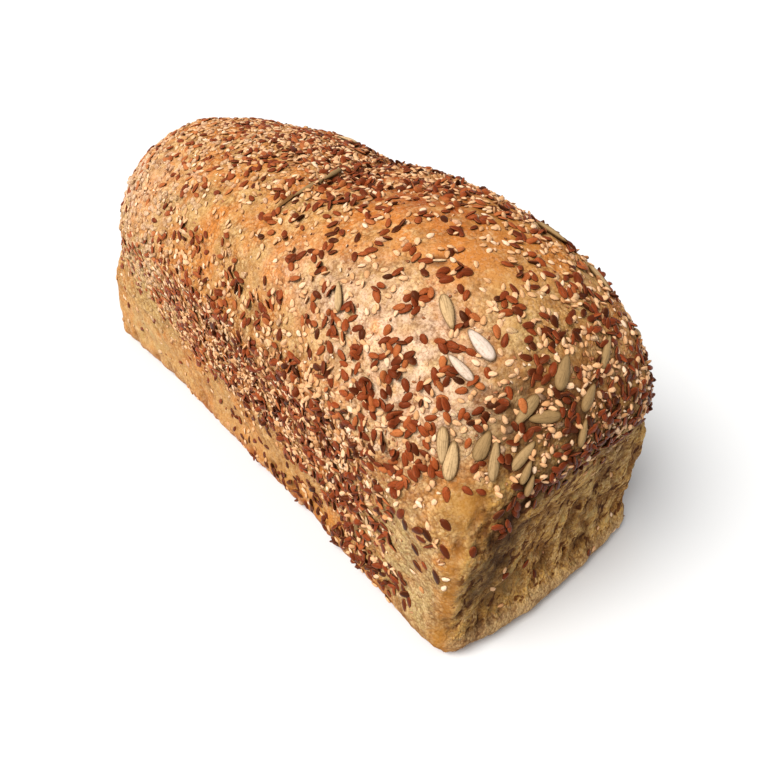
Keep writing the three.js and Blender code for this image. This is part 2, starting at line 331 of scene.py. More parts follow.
def relief(points):
    # height of the crust over the plain form
    height = np.zeros(len(points))
    for swell in swells:
        height += swell[6] * nearness(points, swell)
    x, y, z = points.T
    for length, tall in waves:
        k = 2 * math.pi / length
        along = np.sin(k * (x + askew["x"] * z))
        across = np.sin(k * (y + askew["y"] * x + askew["start"]))
        height += tall * along * across * np.cos(k * (z + askew["z"] * y))
    return height


def raysTo(points):
    starts = np.zeros_like(points)
    starts[:, 0] = np.clip(points[:, 0], -spine["half"], spine["half"])
    starts[:, 2] = spine["height"]
    rays = points - starts
    return starts, rays / np.linalg.norm(rays, axis=1, keepdims=True)


def castOut(points):
    # the crust's point on the ray from the spine through each point
    starts, rays = raysTo(points)
    inner = np.zeros(len(points))
    outer = np.full(len(points), spine["reach"])
    for i in range(spine["halvings"]):
        middle = (inner + outer) / 2
        p = starts + rays * middle[:, None]
        inside = (p[:, 2] > 0) & (fill(p[:, 0], p[:, 1], np.maximum(p[:, 2], 0)) < 1)
        inner = np.where(inside, middle, inner)
        outer = np.where(inside, outer, middle)
    return starts + rays * inner[:, None], rays


# Soft noises: how far apart their bumps are (mm), shift, and stretch.
fields = {
    "lip": (24.0, 61.0, (1, 1, 1)),
    "patches": (9.0, 81.0, (1, 1, 1)),
    "lumpy": (3.0, 17.0, (1, 1, 1.4)),
    "folds": (3.4, 9.1, (1, 1, 2.6)),
    "foot": (3.4, 5.5, (1, 1, 2.5)),
    "torn": (2.5, 1.3, (1, 1, 1)),
    "blotches": (5.0, 21.0, (1, 1, 1)),
    "flour": (3.0, 33.0, (1, 1, 1)),
    "amber": (4.0, 27.0, (1, 1, 1)),
    "shade": (3.5, 45.0, (1, 1, 1)),
    "clumps": (6.5, 70.0, (1, 1, 1)),
    "seedLine": (14.0, 50.0, (1, 1, 1)),
}


def noiseAt(points, grain, shift, stretch=(1, 1, 1)):
    scaled = points / (np.array(stretch) * grain) + shift
    return np.array([noise.noise(p) for p in scaled.tolist()])


def fieldOf(points, name):
    return noiseAt(points, *fields[name])


# Tones of the crust: how uneven each is, the noise that does it, and its places.
tonePlaces = {
    "browned": (0.9, "blotches", [
        (42, 2, 126, 28, 18, 12, 0.85),  # the near half's crest
        (54, -1, 124, 14, 9, 8, 0.6),
        (22, -8, 124, 22, 16, 10, 0.6),  # along the crease
        (4, 18, 121, 18, 24, 12, 0.5),
        (-24, 14, 122, 44, 26, 14, 0.45),
        (-86, 20, 117, 30, 26, 14, 0.3),
        (62, -52, 1, 56, 8, 5, 0.95),  # rim of the foot
        (-20, -52, 1, 64, 8, 4, 0.9),
        (38, -54, 3, 72, 9, 6, 1.0),
        (-96, -56, 2, 30, 8, 6, 0.4),
        (122, -51, 1, 12, 10, 3, 0.4),  # the near corner's foot
        (40, -58, 60, 56, 14, 26, 0.5),  # under the dense band
        (126, 8, 86, 12, 40, 12, 0.4),
        (125, -52.6, 30, 1.8, 1.8, 32, 0.45),  # line down the upright edge
    ]),
    "floury": (1.2, "flour", [
        (58, -48, 105, 26, 12, 9, 0.6),  # ridge along the shoulder
        (86, -42, 104, 22, 14, 14, 0.9),
        (92, -52, 90, 20, 12, 16, 0.7),
        (106, -44, 90, 14, 12, 12, 0.5),  # among the kernels
        (107, -55, 50, 10, 10, 20, 0.1),  # pale skin low at the near corner
        (112, -54, 24, 12, 8, 16, 0.1),
        (-86, -46, 96, 34, 16, 22, 0.4),
    ]),
    "golden": (0.9, "blotches", [
        (66, -10, 122, 34, 20, 14, 0.95),  # the dome's bright side
        (98, -14, 114, 22, 18, 12, 0.75),
        (40, -36, 115, 14, 8, 8, 0.6),
        (-96, -54, 16, 40, 10, 15, 0.75),  # smooth strip at the foot
        (-10, -54, 14, 60, 10, 14, 0.75),
        (-84, -30, 110, 24, 18, 12, 0.45),
        (118, -54, 20, 10, 8, 20, 0.15),
        (20, -60, 82, 7, 6, 6, 0.6),
        (-100, 10, 116, 30, 24, 14, 0.4),
    ]),
    "yellow": (0.9, "blotches", [
        (106, -55, 40, 18, 12, 30, 1.0),  # low at the near corner
        (114, -54, 10, 12, 8, 14, 0.9),
        (-96, -54, 16, 44, 10, 18, 0.55),  # smooth strip at the foot
        (-10, -54, 14, 60, 10, 16, 0.45),
        (20, -60, 82, 8, 6, 7, 0.8),
        (81, -59, 77, 6, 6, 5, 0.6),
        (129, 20, 42, 6, 26, 28, 0.7),
        (112, -14, 104, 16, 22, 14, 0.45),
        (100, -16, 112, 12, 12, 12, 0.35),
        (118, -32, 90, 10, 14, 12, 0.4),
        (-86, -54, 60, 40, 12, 30, 0.5),
    ]),
    "amber": (0.6, "amber", [
        (124, -53, 34, 3.0, 2.8, 34, 0.95),  # stripe down the upright edge
        (121, -47, 66, 9, 7, 8, 0.8),
        (124, -52, 6, 4, 4, 9, 0.7),
        (50, -54, 10, 50, 6, 5, 0.4),
        (70, 8, 124, 20, 10, 8, 0.5),
    ]),
    "shaded": (0.7, "shade", [
        (129, -28, 20, 7, 8, 4.5, 0.6),  # cavity over the end's lip
        (129, -38, 40, 5, 15, 32, 0.95),  # beside the upright edge
        (129, -37, 58, 5, 5, 9, 0.8),
        (130, -28, 69, 6, 7, 5, 0.7),
        (130, -16, 76, 8, 22, 12, 0.6),
        (131, 8, 80, 8, 34, 16, 0.6),
        (122, -24, 90, 14, 20, 14, 0.9),  # among the kernels
        (129, 8, 30, 5, 2.4, 5, 0.6),
        (129, -6, 19, 5, 2.4, 4, 0.7),
        (129, 15, 14, 5, 4.5, 2.2, 0.7),
    ]),
}

# Where the far half's skin is lumpy, where the crust baked smooth, and where it lies calm.
lumpyPlaces = [
    (-84, -50, 88, 44, 18, 34, 1.0),
    (-70, -56, 50, 40, 12, 20, 0.8),
    (-40, -54, 86, 24, 12, 14, 0.7),
    (-90, 10, 114, 40, 50, 20, 0.7),
]
smoothPlaces = [
    (66, -10, 122, 44, 24, 14, 0.45),
    (-96, -54, 16, 40, 10, 16, 0.9),
    (0, -54, 14, 60, 10, 14, 0.8),
    (129, -28, 20, 7, 9, 5, 0.9),
    (121, -47, 66, 7, 5, 5, 0.7),
    (126, -51, 34, 2.6, 3.2, 30, 0.7),
    (98, -14, 114, 22, 18, 14, 0.35),
]
calmPlaces = [
    (113, -55, 14, 20, 10, 16, 0.8),  # low at the near corner
]

crust = {
    "alongX": 184,  # squares of the box that is cast out to the crust
    "alongY": 116,
    "alongZ": 128,
    "nearer": 0.2,  # how much closer they lie at the near end
    "below": 8.0,  # the box reaches below the base, so that its lowest ring lies flat
    "settle": 3.0,  # height over which the fine relief fades out at the foot
    "lumps": [(7.5, 0.6), (3.6, 0.42), (1.9, 0.26)],  # grain and height
    "lumpShift": 3.7,  # between the noises of two grains
    "smoothLumps": 0.45,  # their height where the crust baked smooth
    "lumpy": 1.5,  # soft lumps of the far half's skin
    "wrinkle": 0.8,  # folds of the ends' skin, tallest
    "wrinkleLean": 0.55,  # how far they lean towards +Y as they rise
    "plainSide": 0.55,  # height of the folds towards +Y, and where it falls off
    "plainFrom": (-8, 20),
    "plainEnd": 0.6,  # height of the folds at the far end
    "middleOver": 20,
    "footWrinkle": 0.7,
    "footTop": (16, 12),  # where the foot's wrinkles fade out
    "lipFoot": 0.6,  # share of the foot's wrinkles that the lip takes away
    "endFacing": (0.55, 0.25),  # how squarely the ends' skin faces along the loaf
    "endTop": (100, 24),  # where the ends' skin gives way to the dome's
}

# How crumbly the crust is, and what takes from it: smooth places, and patches high up.
roughness = {
    "most": 0.85,
    "least": 0.05,
    "smoothed": 0.8,
    "patched": 0.4,
    "patch": (-0.12, 0.3),
    "patchFrom": 84,
}

# Along the foot of the ends a lip of crust stands out, with a shaded step above it.
endLip = {
    "top": 9.5,
    "sway": 2.6,
    "soft": 2.0,
    "proud": 0.3,
    "recess": 1.3,  # how far the wall above it lies back
    "above": 34.0,
    "over": 22.0,
    "within": (52, 14),  # away from the upright edges
    "tuck": (127, -49, 4, 12, 12, 14, 0.9),  # where the foot is drawn in a little
}

# The dome tore a little where it rose, so a thin edge of crust stands along the crease.
tornEdges = {
    "from": 90,  # height above which they stand
    "ragged": 0.5,
    "edges": [  # places along the edge, height, and width
        ([(17, -36), (14, -26), (11, -16), (8, -5), (4, 8), (0, 22)], 1.9, 1.3),
        ([(-14, -40), (-4, -33), (4, -27), (13, -22)], 1.3, 1.0),
        ([(-38, -30), (-27, -22), (-18, -18)], 0.8, 1.0),
        ([(24, -8), (30, 6), (33, 18)], 0.8, 1.0),
    ],
}

# Hollows that show in the near end: place across and up, reach across and up, depth, and lean.
hollowsFrom = (112, 8)
endHollows = [
    (-29, 20, 8, 4.0, 2.2, 1.1),  # smooth cavity over the lip
    (-38, 12, 4, 3.0, 1.1, 0.6),
    (-37, 60, 4, 7.0, 2.0, 0.5),
    (-28, 68, 5, 4.0, 1.7, 0.4),
    (-31, 50, 3, 3.5, 1.3, 0.5),
    (-17, 29, 2.6, 5.0, 1.7, 0.8),
    (-6, 19, 2.6, 5.0, 2.1, 0.8),
    (8, 30, 2.8, 6.0, 2.1, 0.5),
    (15, 14, 4.5, 3.0, 1.9, 0.3),
    (2, 44, 5, 4.0, 1.4, 0.5),
    (24, 40, 4, 6.0, 1.8, 0.3),
    (33, 26, 3, 5.0, 1.6, 0.2),
    (14, 58, 6, 4.0, 1.3, 0.4),
]

# Smaller pits in the bare skin: on the ends, and along the foot of the long sides.
pits = {
    "count": 420,
    "seed": 71,
    "deep": (0.6, 1.8),
    "wide": (1.2, 2.6),
    "tall": (1.8, 4.6),
    "lean": (-0.5, 0.3),
    "window": 12,  # mm round each pit that it can reach
    "endTop": (78, 20),
    "footTop": (30, 12),
    "footShare": 0.5,
    "sideFacing": 0.7,
    "above": 6,
}


def boxSkin():
    bm = bmesh.new()
    bmesh.ops.create_cube(bm, size=1.0)
    for axis, count in enumerate((crust["alongX"], crust["alongY"], crust["alongZ"])):
        edges = [e for e in bm.edges if abs(e.verts[0].co[axis] - e.verts[1].co[axis]) > 0.5]
        bmesh.ops.subdivide_edges(bm, edges=edges, cuts=count - 1)
    # the underside stays open here, and one flat face fills it later
    under = [f for f in bm.faces if max(v.co.z for v in f.verts) < -0.4999]
    bmesh.ops.delete(bm, geom=under, context="FACES")
    return bm


def pointsOf(bm):
    return np.array([v.co[:] for v in bm.verts])


def setPoints(bm, points):
    for vert, point in zip(bm.verts, points.tolist()):
        vert.co = point
    bm.normal_update()


def normalsOf(bm):
    return np.array([v.normal[:] for v in bm.verts])


def endShareOf(points, normals):
    facing = rising(np.abs(normals[:, 0]), *crust["endFacing"])
    return facing * falling(points[:, 2], *crust["endTop"])


def lipShareOf(points, normals):
    # 1 on the lip along the foot of the ends, 0 above its step
    top = endLip["top"] + endLip["sway"] * fieldOf(points, "lip")
    return endShareOf(points, normals) * smooth((top - points[:, 2]) / endLip["soft"] + 0.5)


def lineDistance(points, line):
    nearest = np.full(len(points), 1e3)
    for (ax, ay), (bx, by) in zip(line, line[1:]):
        run = np.array((bx - ax, by - ay), float)
        away = points[:, :2] - (ax, ay)
        t = np.clip(away @ run / (run @ run), 0, 1)
        nearest = np.minimum(nearest, np.linalg.norm(away - t[:, None] * run, axis=1))
    return nearest


def pitDepth(points, normals):
    random = np.random.RandomState(pits["seed"])
    bare = endShareOf(points, normals) * falling(points[:, 2], *pits["endTop"])
    low = falling(points[:, 2], *pits["footTop"]) * (np.abs(normals[:, 1]) > pits["sideFacing"])
    chance = np.clip(bare + pits["footShare"] * low, 0, 1) * (points[:, 2] > pits["above"])
    centres = random.choice(len(points), pits["count"], p=chance / chance.sum())
    depth = np.zeros(len(points))
    for centre in centres:
        deep, wide, tall, lean = (random.uniform(*pits[key]) for key in ("deep", "wide", "tall", "lean"))
        away = points - points[centre]
        near = np.nonzero(np.abs(away).max(axis=1) < pits["window"])[0]
        up = away[near, 2]
        level = np.hypot(away[near, 0], away[near, 1]) * np.sign(away[near, 0] + away[near, 1])
        level = level - lean * up
        depth[near] = np.maximum(depth[near], deep * np.exp(-(level / wide) ** 2 - (up / tall) ** 2))
    return depth


def hollowDepth(points):
    depth = np.zeros(len(points))
    for y, z, wide, tall, deep, lean in endHollows:
        up = points[:, 2] - z
        across = points[:, 1] - y - lean * up
        depth = np.maximum(depth, deep * (bell(across / wide) * bell(up / tall)))
    return depth * rising(points[:, 0], *hollowsFrom)


def roughShareOf(points):
    # how crumbly the crust is, from 0 where it baked smooth and golden to 1
    patches = rising(fieldOf(points, "patches"), *roughness["patch"])
    smoothed = roughness["most"] - roughness["smoothed"] * shareAt(points, smoothPlaces)
    patched = roughness["patched"] * patches * (points[:, 2] > roughness["patchFrom"])
    return np.clip(smoothed - patched, roughness["least"], 1)


def fineRelief(points, normals):
    height = np.zeros(len(points))
    rough = roughShareOf(points)
    for i, (grain, tall) in enumerate(crust["lumps"]):
        lumps = noiseAt(points, grain, crust["lumpShift"] * i)
        height += tall * blendOf(crust["smoothLumps"], 1, rough) * lumps
    height += crust["lumpy"] * shareAt(points, lumpyPlaces) * fieldOf(points, "lumpy")
    leaned = points.copy()
    leaned[:, 1] -= crust["wrinkleLean"] * points[:, 2]
    folds = 1 - 2 * np.abs(fieldOf(leaned, "folds"))
    creased = blendOf(crust["plainSide"], 1.0, falling(points[:, 1], *crust["plainFrom"]))
    creased = creased * blendOf(crust["plainEnd"], 1, smooth(points[:, 0] / crust["middleOver"] + 0.5))
    lip = lipShareOf(points, normals)
    height += endShareOf(points, normals) * (1 - lip) * creased * crust["wrinkle"] * folds
    foot = falling(points[:, 2], *crust["footTop"]) * (1 - crust["lipFoot"] * lip)
    calm = leftAt(points, calmPlaces)
    height += calm * foot * crust["footWrinkle"] * fieldOf(points, "foot")
    ragged = tornEdges["ragged"] * fieldOf(points, "torn")
    for line, tall, wide in tornEdges["edges"]:
        away = lineDistance(points, line) + ragged
        height += tall * bell(away / wide) * (points[:, 2] > tornEdges["from"])
    return height - np.maximum(calm * pitDepth(points, normals) * (1 - lip), hollowDepth(points))


def drawnIn(points, normals):
    # how far the end's wall lies back above its lip, and the foot at its tuck
    lip = lipShareOf(points, normals)
    depth = endLip["recess"] * falling(points[:, 2], endLip["above"], endLip["over"])
    depth = depth * falling(np.abs(points[:, 1]), *endLip["within"])
    depth = depth * (1 - lip) * endShareOf(points, normals) - endLip["proud"] * lip
    return depth + endLip["tuck"][6] * nearness(points, endLip["tuck"])


def makeCrust():
    bm = boxSkin()
    box = pointsOf(bm)
    long = loaf["nearHalf"] + loaf["farHalf"]
    share = box[:, 0] + 0.5
    box[:, 0] = (share + crust["nearer"] * share * (1 - share)) * long - loaf["farHalf"]
    box[:, 1] *= 2 * loaf["halfWidth"]
    box[:, 2] = (box[:, 2] + 0.5) * (loaf["crown"] + crust["below"]) - crust["below"]
    points, rays = castOut(box)
    settled = smooth(points[:, 2] / rounding["foot"])
    body = points + rays * (settled * relief(points))[:, None]
    setPoints(bm, body)
    normals = normalsOf(bm)
    settled = smooth(body[:, 2] / crust["settle"])
    height = fineRelief(body, normals) * settled
    points = body + normals * (height - drawnIn(body, normals) * settled)[:, None]
    points[:, 2] = np.maximum(points[:, 2], 0)
    ring = [e for e in bm.edges if e.is_boundary]
    points[[v.index for e in ring for v in e.verts], 2] = 0
    setPoints(bm, points)
    bmesh.ops.holes_fill(bm, edges=ring, sides=0)
    bmesh.ops.recalc_face_normals(bm, faces=bm.faces)
    return bm, points, normals, height


crustMesh, crustPoints, crustNormals, crustHeight = makeCrust()
crustTree = BVHTree.FromBMesh(crustMesh)
crustFaces = [[v.index for v in f.verts] for f in crustMesh.faces]
print("crust shaped:", len(crustFaces), "faces")


def crustTones(points, normals):
    # each tone's share, from 0 to 1, at each point
    tones = {}
    for name, (uneven, field, places) in tonePlaces.items():
        tones[name] = np.clip(shareAt(points, places) * (1 + uneven * fieldOf(points, field)), 0, 1)
    tones["baked"] = endShareOf(points, normals)
    tones["lip"] = lipShareOf(points, normals)
    tones["rough"] = roughShareOf(points)
    return tones


# Painted shade in the relief's hollows, on the sides and on the ends: its share where the skin is level, the
# depth that gives a full one, and what is left of it where the crust baked smooth.
hollowShadeTone = {"start": (0.24, 0.4), "deep": (1.5, 1.1), "smooth": 0.3}


def paintedHollowShade(height, baked, rough):
    start, deep = (blendOf(*hollowShadeTone[key], baked) for key in ("start", "deep"))
    return np.clip(start - height / deep, 0, 1) * blendOf(hollowShadeTone["smooth"], 1, rough)


def setValues(data, values):
    for name, numbers in values.items():
        layer = data.attributes.new(name, "FLOAT", "POINT")
        layer.data.foreach_set("value", np.asarray(numbers, np.float32))


bakedCrust = {
    "name": "baked bread crust",
    "tan": "#BA9056",
    "gold": "#C47A36",
    "brown": "#A04A1C",
    "flour": "#DEBC9C",
    "yellow": "#B09860",
    "amber": "#9A6418",
    "oliveBrown": "#D6A456",
    "lipTan": "#D6B078",
    "shade": "#432813",
    # deep is multiplied in as painted shade in crumb gaps, fold creases and hollows
    "deep": "#7A4A1E",
    # painted shade round and between the seeds
    "seedShade": "#4C2410",
    "pale": "#E4C48E",
    "dark": "#804C20",
    "noises": {  # grain in mm, detail and roughness
        "blotch": (16.0, 2.0, 0.55),  # uneven browning
        "mottle": (4.2, 3.0, 0.6),
        "skin": (0.6, 2.0, 0.6),  # the skin's finest grain
        "dust": (1.3, 2.0, 0.7),  # specks of flour
    },
    "cells": {  # size in mm, and how far from round
        "crumb": (1.1, 0.9),  # crumbs and blisters of the rough skin
        "flake": (2.3, 1.2),  # flakes of bran under it
    },
    "drift": 1.6,  # grain of what moves them, in their sizes
    "crease": 2.8,  # mm between the fine wrinkles of the ends
    "creaseLean": 29.0,  # degrees from upright, towards +Y
    "creaseStretch": (1, 1, 0.62),
    "creaseNoise": {"Detail": 2.5, "Distortion": 0.5},
    "gloss": 0.08,
    "roughOnEnds": (0.0, 1.0, 1.0, 1.15),
    "foldsOnLip": (0.0, 1.0, 1.0, 0.2),
    "dustOnFlour": (0.0, 0.5, 0.35, 1.0),
    "roughFrom": (0.2, 0.9, 0.5, 0.8),  # from baked smooth to crumbly
    # Each layer: source, the span of it that counts and what it gives, what lessens it, colour, blend.
    "layers": [
        ("blotch", (0.4, 0.62, 0.0, 1.0), None, "gold", "MIX"),
        ("golden", None, None, "gold", "MIX"),
        ("baked", None, None, "oliveBrown", "MIX"),
        ("yellow", None, None, "yellow", "MIX"),
        ("lip", None, None, "lipTan", "MIX"),
        ("browned", None, None, "brown", "MIX"),
        ("floury", None, None, "flour", "MIX"),
        ("mottle", (0.54, 0.7, 0.0, 0.4), None, "pale", "MIX"),
        ("mottle", (0.46, 0.32, 0.0, 0.45), None, "dark", "MIX"),
        ("flakeTone", (0.66, 0.9, 0.0, 0.35), "rough", "pale", "MIX"),
        ("flakeTone", (0.3, 0.1, 0.0, 0.4), "rough", "dark", "MIX"),
        ("crumbTone", (0.6, 0.9, 0.0, 0.5), "rough", "pale", "MIX"),
        ("crumbTone", (0.36, 0.1, 0.0, 0.55), "rough", "dark", "MIX"),
        # painted shade in the gaps between crumbs
        ("crumbGap", (0.42, 0.85, 0.0, 0.5), "rough", "deep", "MULTIPLY"),
        ("skin", (0.5, 0.34, 0.0, 0.5), None, "dark", "MIX"),
        ("dust", (0.55, 0.64, 0.0, 0.5), "dusted", "flour", "MIX"),
        # painted shade in the creases of the ends' folds, and painted highlight on their crests
        ("folds", (0.46, 0.35, 0.0, 0.9), "creased", "deep", "MULTIPLY"),
        ("folds", (0.55, 0.68, 0.0, 0.6), "creased", "yellow", "MIX"),
        ("amber", None, 0.8, "amber", "MIX"),
        ("shaded", None, 0.9, "shade", "MIX"),
        # painted shade in the relief's hollows
        ("hollow", None, 0.8, "deep", "MULTIPLY"),
        # painted shade on the crust round and between the seeds
        ("seedShade", None, None, "seedShade", "MIX"),
    ],
    # Strength, distance in mm, and height of each bump.
    "bumps": [(0.9, 0.5, "crumbRise"), (1.0, 1.1, "foldRise"), (0.6, 0.2, "skin")],
}


def perMetre(size):
    # scale of a noise texture whose grains are this many millimetres wide
    return 1 / (size * millimetre)


def coverOf(material, sources, name, span=None, times=None):
    # how far a colour covers: its source over a span, lessened by another source or a number
    cover = sources[name]
    if span:
        values = dict(zip(("From Min", "From Max", "To Min", "To Max"), span), Value=cover)
        cover = addNode(material, "ShaderNodeMapRange", values, interpolation_type="SMOOTHSTEP").outputs[0]
    if times is not None:
        values = {0: cover, 1: sources.get(times, times)}
        cover = addNode(material, "ShaderNodeMath", values, operation="MULTIPLY").outputs[0]
    return cover


def dressMaterial(material, look, sources, colour, inputs):
    # Layers of colour and bumps, each over the last, then the shader.
    for name, span, times, over, blend in look["layers"]:
        values = {0: coverOf(material, sources, name, span, times), 6: colour, 7: linear(look[over])}
        colour = addNode(material, "ShaderNodeMix", values, data_type="RGBA", blend_type=blend).outputs[2]
    below = {}
    for strength, distance, height in look["bumps"]:
        bump = {"Strength": strength, "Distance": distance * millimetre, "Height": sources[height]}
        below = {"Normal": addNode(material, "ShaderNodeBump", {**bump, **below}).outputs[0]}
    inputs = {"Base Color": colour, "Specular IOR Level": look["gloss"], **inputs, **below}
    return finishMaterial(material, addNode(material, "ShaderNodeBsdfPrincipled", inputs))


def makeCrustMaterial():
    # Baked wholegrain bread crust: matt, mottled by uneven browning, and finely blistered. Painted shade
    # darkens its shaded places, crumb gaps, fold creases and hollows and the crust round its seeds, and
    # painted highlight lightens the crests of the ends' folds.
    look = bakedCrust
    material = newMaterial(look["name"])
    where = addNode(material, "ShaderNodeTexCoord").outputs["Object"]
    sources = {}
    for name in (*tonePlaces, "baked", "lip", "rough", "hollow", "seedShade"):
        sources[name] = addNode(material, "ShaderNodeAttribute", attribute_name=name).outputs["Fac"]
    for name, (size, detail, rough) in look["noises"].items():
        grain = {"Vector": where, "Scale": perMetre(size), "Detail": detail, "Roughness": rough}
        sources[name] = addNode(material, "ShaderNodeTexNoise", grain).outputs["Fac"]
    for name, (size, wobble) in look["cells"].items():
        # one cell for each crumb or flake, none of them quite round
        drift = {"Vector": where, "Scale": perMetre(size * look["drift"]), "Detail": 1.0}
        drift = {0: addNode(material, "ShaderNodeTexNoise", drift).outputs["Color"], 1: (-0.5,) * 3}
        drift = {0: addNode(material, "ShaderNodeVectorMath", drift, operation="ADD").outputs[0]}
        drift["Scale"] = wobble * size * millimetre
        moved = {0: where, 1: addNode(material, "ShaderNodeVectorMath", drift, operation="SCALE").outputs[0]}
        moved = addNode(material, "ShaderNodeVectorMath", moved, operation="ADD").outputs[0]
        cells = addNode(material, "ShaderNodeTexVoronoi", {"Vector": moved, "Scale": perMetre(size)})
        sources[name + "Tone"], sources[name + "Gap"] = cells.outputs["Color"], cells.outputs["Distance"]
    leaned = {"Vector": where, "Rotation": (math.radians(look["creaseLean"]), 0, 0)}
    leaned = {0: addNode(material, "ShaderNodeMapping", leaned).outputs[0], 1: look["creaseStretch"]}
    leaned = addNode(material, "ShaderNodeVectorMath", leaned, operation="MULTIPLY").outputs[0]
    folds = {"Vector": leaned, "Scale": perMetre(look["crease"]), **look["creaseNoise"]}
    sources["folds"] = addNode(material, "ShaderNodeTexNoise", folds).outputs["Fac"]
    sources["rough"] = coverOf(material, sources, "baked", look["roughOnEnds"], "rough")
    sources["creased"] = coverOf(material, sources, "lip", look["foldsOnLip"], "baked")
    sources["dusted"] = coverOf(material, sources, "floury", look["dustOnFlour"])
    sources["crumbFall"] = coverOf(material, sources, "crumbGap", None, -1.0)
    sources["crumbRise"] = coverOf(material, sources, "crumbFall", None, "rough")
    sources["foldRise"] = coverOf(material, sources, "folds", None, "creased")
    rough = {"Roughness": coverOf(material, sources, "rough", look["roughFrom"])}
    return dressMaterial(material, look, sources, linear(look["tan"]), rough)


crustMaterial = makeCrustMaterial()


def finishPiece(data, name, material):
    data.materials.append(material)
    data.polygons.foreach_set("use_smooth", np.ones(len(data.polygons), bool))
    piece = bpy.data.objects.new(name, data)
    bpy.context.scene.collection.objects.link(piece)
    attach(piece, "root")
    return piece


def finishCrust(seedShade):
    data = bpy.data.meshes.new("crust")
    bmesh.ops.scale(crustMesh, vec=(millimetre,) * 3, verts=crustMesh.verts)
    crustMesh.to_mesh(data)
    values = crustTones(crustPoints, crustNormals)
    values["hollow"] = paintedHollowShade(crustHeight, values["baked"], values["rough"])
    values["seedShade"] = seedShade
    setValues(data, values)
    piece = finishPiece(data, "crust", crustMaterial)
    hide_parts("loaf")


# Each kind's sides, rings, slimness of the tip, thinness of the rim, depth of the grooves, and how
# blunt its round end is.
seedShapes = {
    "kernel": (16, 14, 0.17, 0.45, 0.06, 2.7),
    "linseed": (7, 5, 0.16, 0.4, 0.0, 2.0),
    "sesame": (7, 4, 0.24, 0.2, 0.0, 2.2),
    "coated": (6, 4, 0.2, 0.1, 0.0, 2.0),
    "crumb": (5, 3, 0.3, 0.3, 0.0, 2.0),
}
seedTip = {"from": -0.8, "over": 1.6, "grooves": 5, "thinnest": 0.01}


def seedShape(kind):
    # A sphere one unit in radius, drawn in towards its tip at +X and flattened to a rim at its sides.
    # Each point also keeps how far along, across and up it lay on the sphere.
    sides, rings, slimness, edge, groove, blunt = seedShapes[kind]
    bm = bmesh.new()
    bmesh.ops.create_uvsphere(bm, u_segments=sides, v_segments=rings, radius=1.0)
    bmesh.ops.rotate(bm, verts=bm.verts, matrix=Matrix.Rotation(math.radians(90), 3, "Y"))
    places = pointsOf(bm)
    for vert in bm.verts:
        x, y, z = vert.co
        slim = 1 - slimness * (x + 1) * float(rising(x, seedTip["from"], seedTip["over"]))
        around = max(1 - x * x, seedTip["thinnest"])
        full = math.sqrt(max(1 - abs(x) ** blunt, 0) / around) if x < 0 else 1.0
        lens = 1 - edge * y * y / around
        grooved = 1 - groove * math.cos(seedTip["grooves"] * math.pi * y)
        vert.co = (x, y * slim * full, z * slim * lens * grooved)
    bmesh.ops.recalc_face_normals(bm, faces=bm.faces)
    points = pointsOf(bm)
    corners = [[v.index for v in f.verts] for f in bm.faces]
    bm.free()
    return points, corners, places


def joinedCopies(name, kind, frames, tones):
    # One mesh with a copy of the seed in each frame. Each copy keeps its own tone.
    points, corners, places = seedShape(kind)
    count = len(frames)
    flat = np.concatenate([np.array(c) for c in corners])
    sizes = np.array([len(c) for c in corners])
    starts = np.concatenate(([0], np.cumsum(sizes)[:-1]))
    laid = np.einsum("nij,pj->npi", frames[:, :3, :3], points) + frames[:, None, :3, 3]
    offsets = np.arange(count)[:, None]
    data = bpy.data.meshes.new(name)
    data.vertices.add(count * len(points))
    data.loops.add(count * len(flat))
    data.polygons.add(count * len(sizes))
    data.vertices.foreach_set("co", (laid * millimetre).ravel())
    data.loops.foreach_set("vertex_index", (flat + offsets * len(points)).ravel())
    data.polygons.foreach_set("loop_start", (starts + offsets * len(flat)).ravel())
    data.update(calc_edges=True)
    data.validate()
    values = {key: np.tile(places[:, i], count) for i, key in enumerate(("along", "across", "above"))}
    for key, numbers in tones.items():
        values[key] = np.repeat(numbers, len(points))
    setValues(data, values)
    return data


# Kernels and linseeds of the solid in mm, and how its scattered ones are drawn, as in its source.
kernelSize = {"length": 10.4, "width": 4.4, "thickness": 2.5}
linseedSize = {"length": 4.8, "width": 2.6, "thickness": 1.25}
scatter = {
    "seed": 20417,
    "tries": 9000,
    "kernels": 22,
    "kernelGap": 17.0,
    "linseeds": 128,
    "linseedGap": 11.0,
    "behind": 26.0,  # scattered kernels lie only out of sight, past one of these
    "beyond": -118.0,
    "leastScale": 0.85,
    "scaleRange": 0.3,
    "end": (106.0, 14.0),
    "side": (9.0, 12.0),
    "upper": (46.0, 34.0),
    "leastUpper": 0.06,
}
solidSeeds = {
    "seed": 5,
    "shownLift": 0.3,  # of the seed's thickness
    "lift": 0.2,
    "pale": (0.2, 0.8),
    "kernelParts": (-0.3, 0.0, 0.3),
    "kernelReach": 0.42,
    "linseedScale": 0.96,
    "linseedReach": 1.3,
    "toneSpread": 2.4,
    "bare": 0.3,  # scattered ones lie only where less than this is bare
}
barePlaces = [
    (12, -50, 104, 36, 14, 8, 0.9),
    (106, -54, 40, 24, 14, 28, 0.95),
    (70, -34, 112, 40, 16, 10, 0.55),
    (-104, -52, 84, 30, 14, 26, 0.5),
    (124, 0, 44, 14, 44, 22, 0.6),
]
bareCorner = [
    (112, -55, 32, 16, 14, 36, 1.0),  # only the listed seeds lie here
]

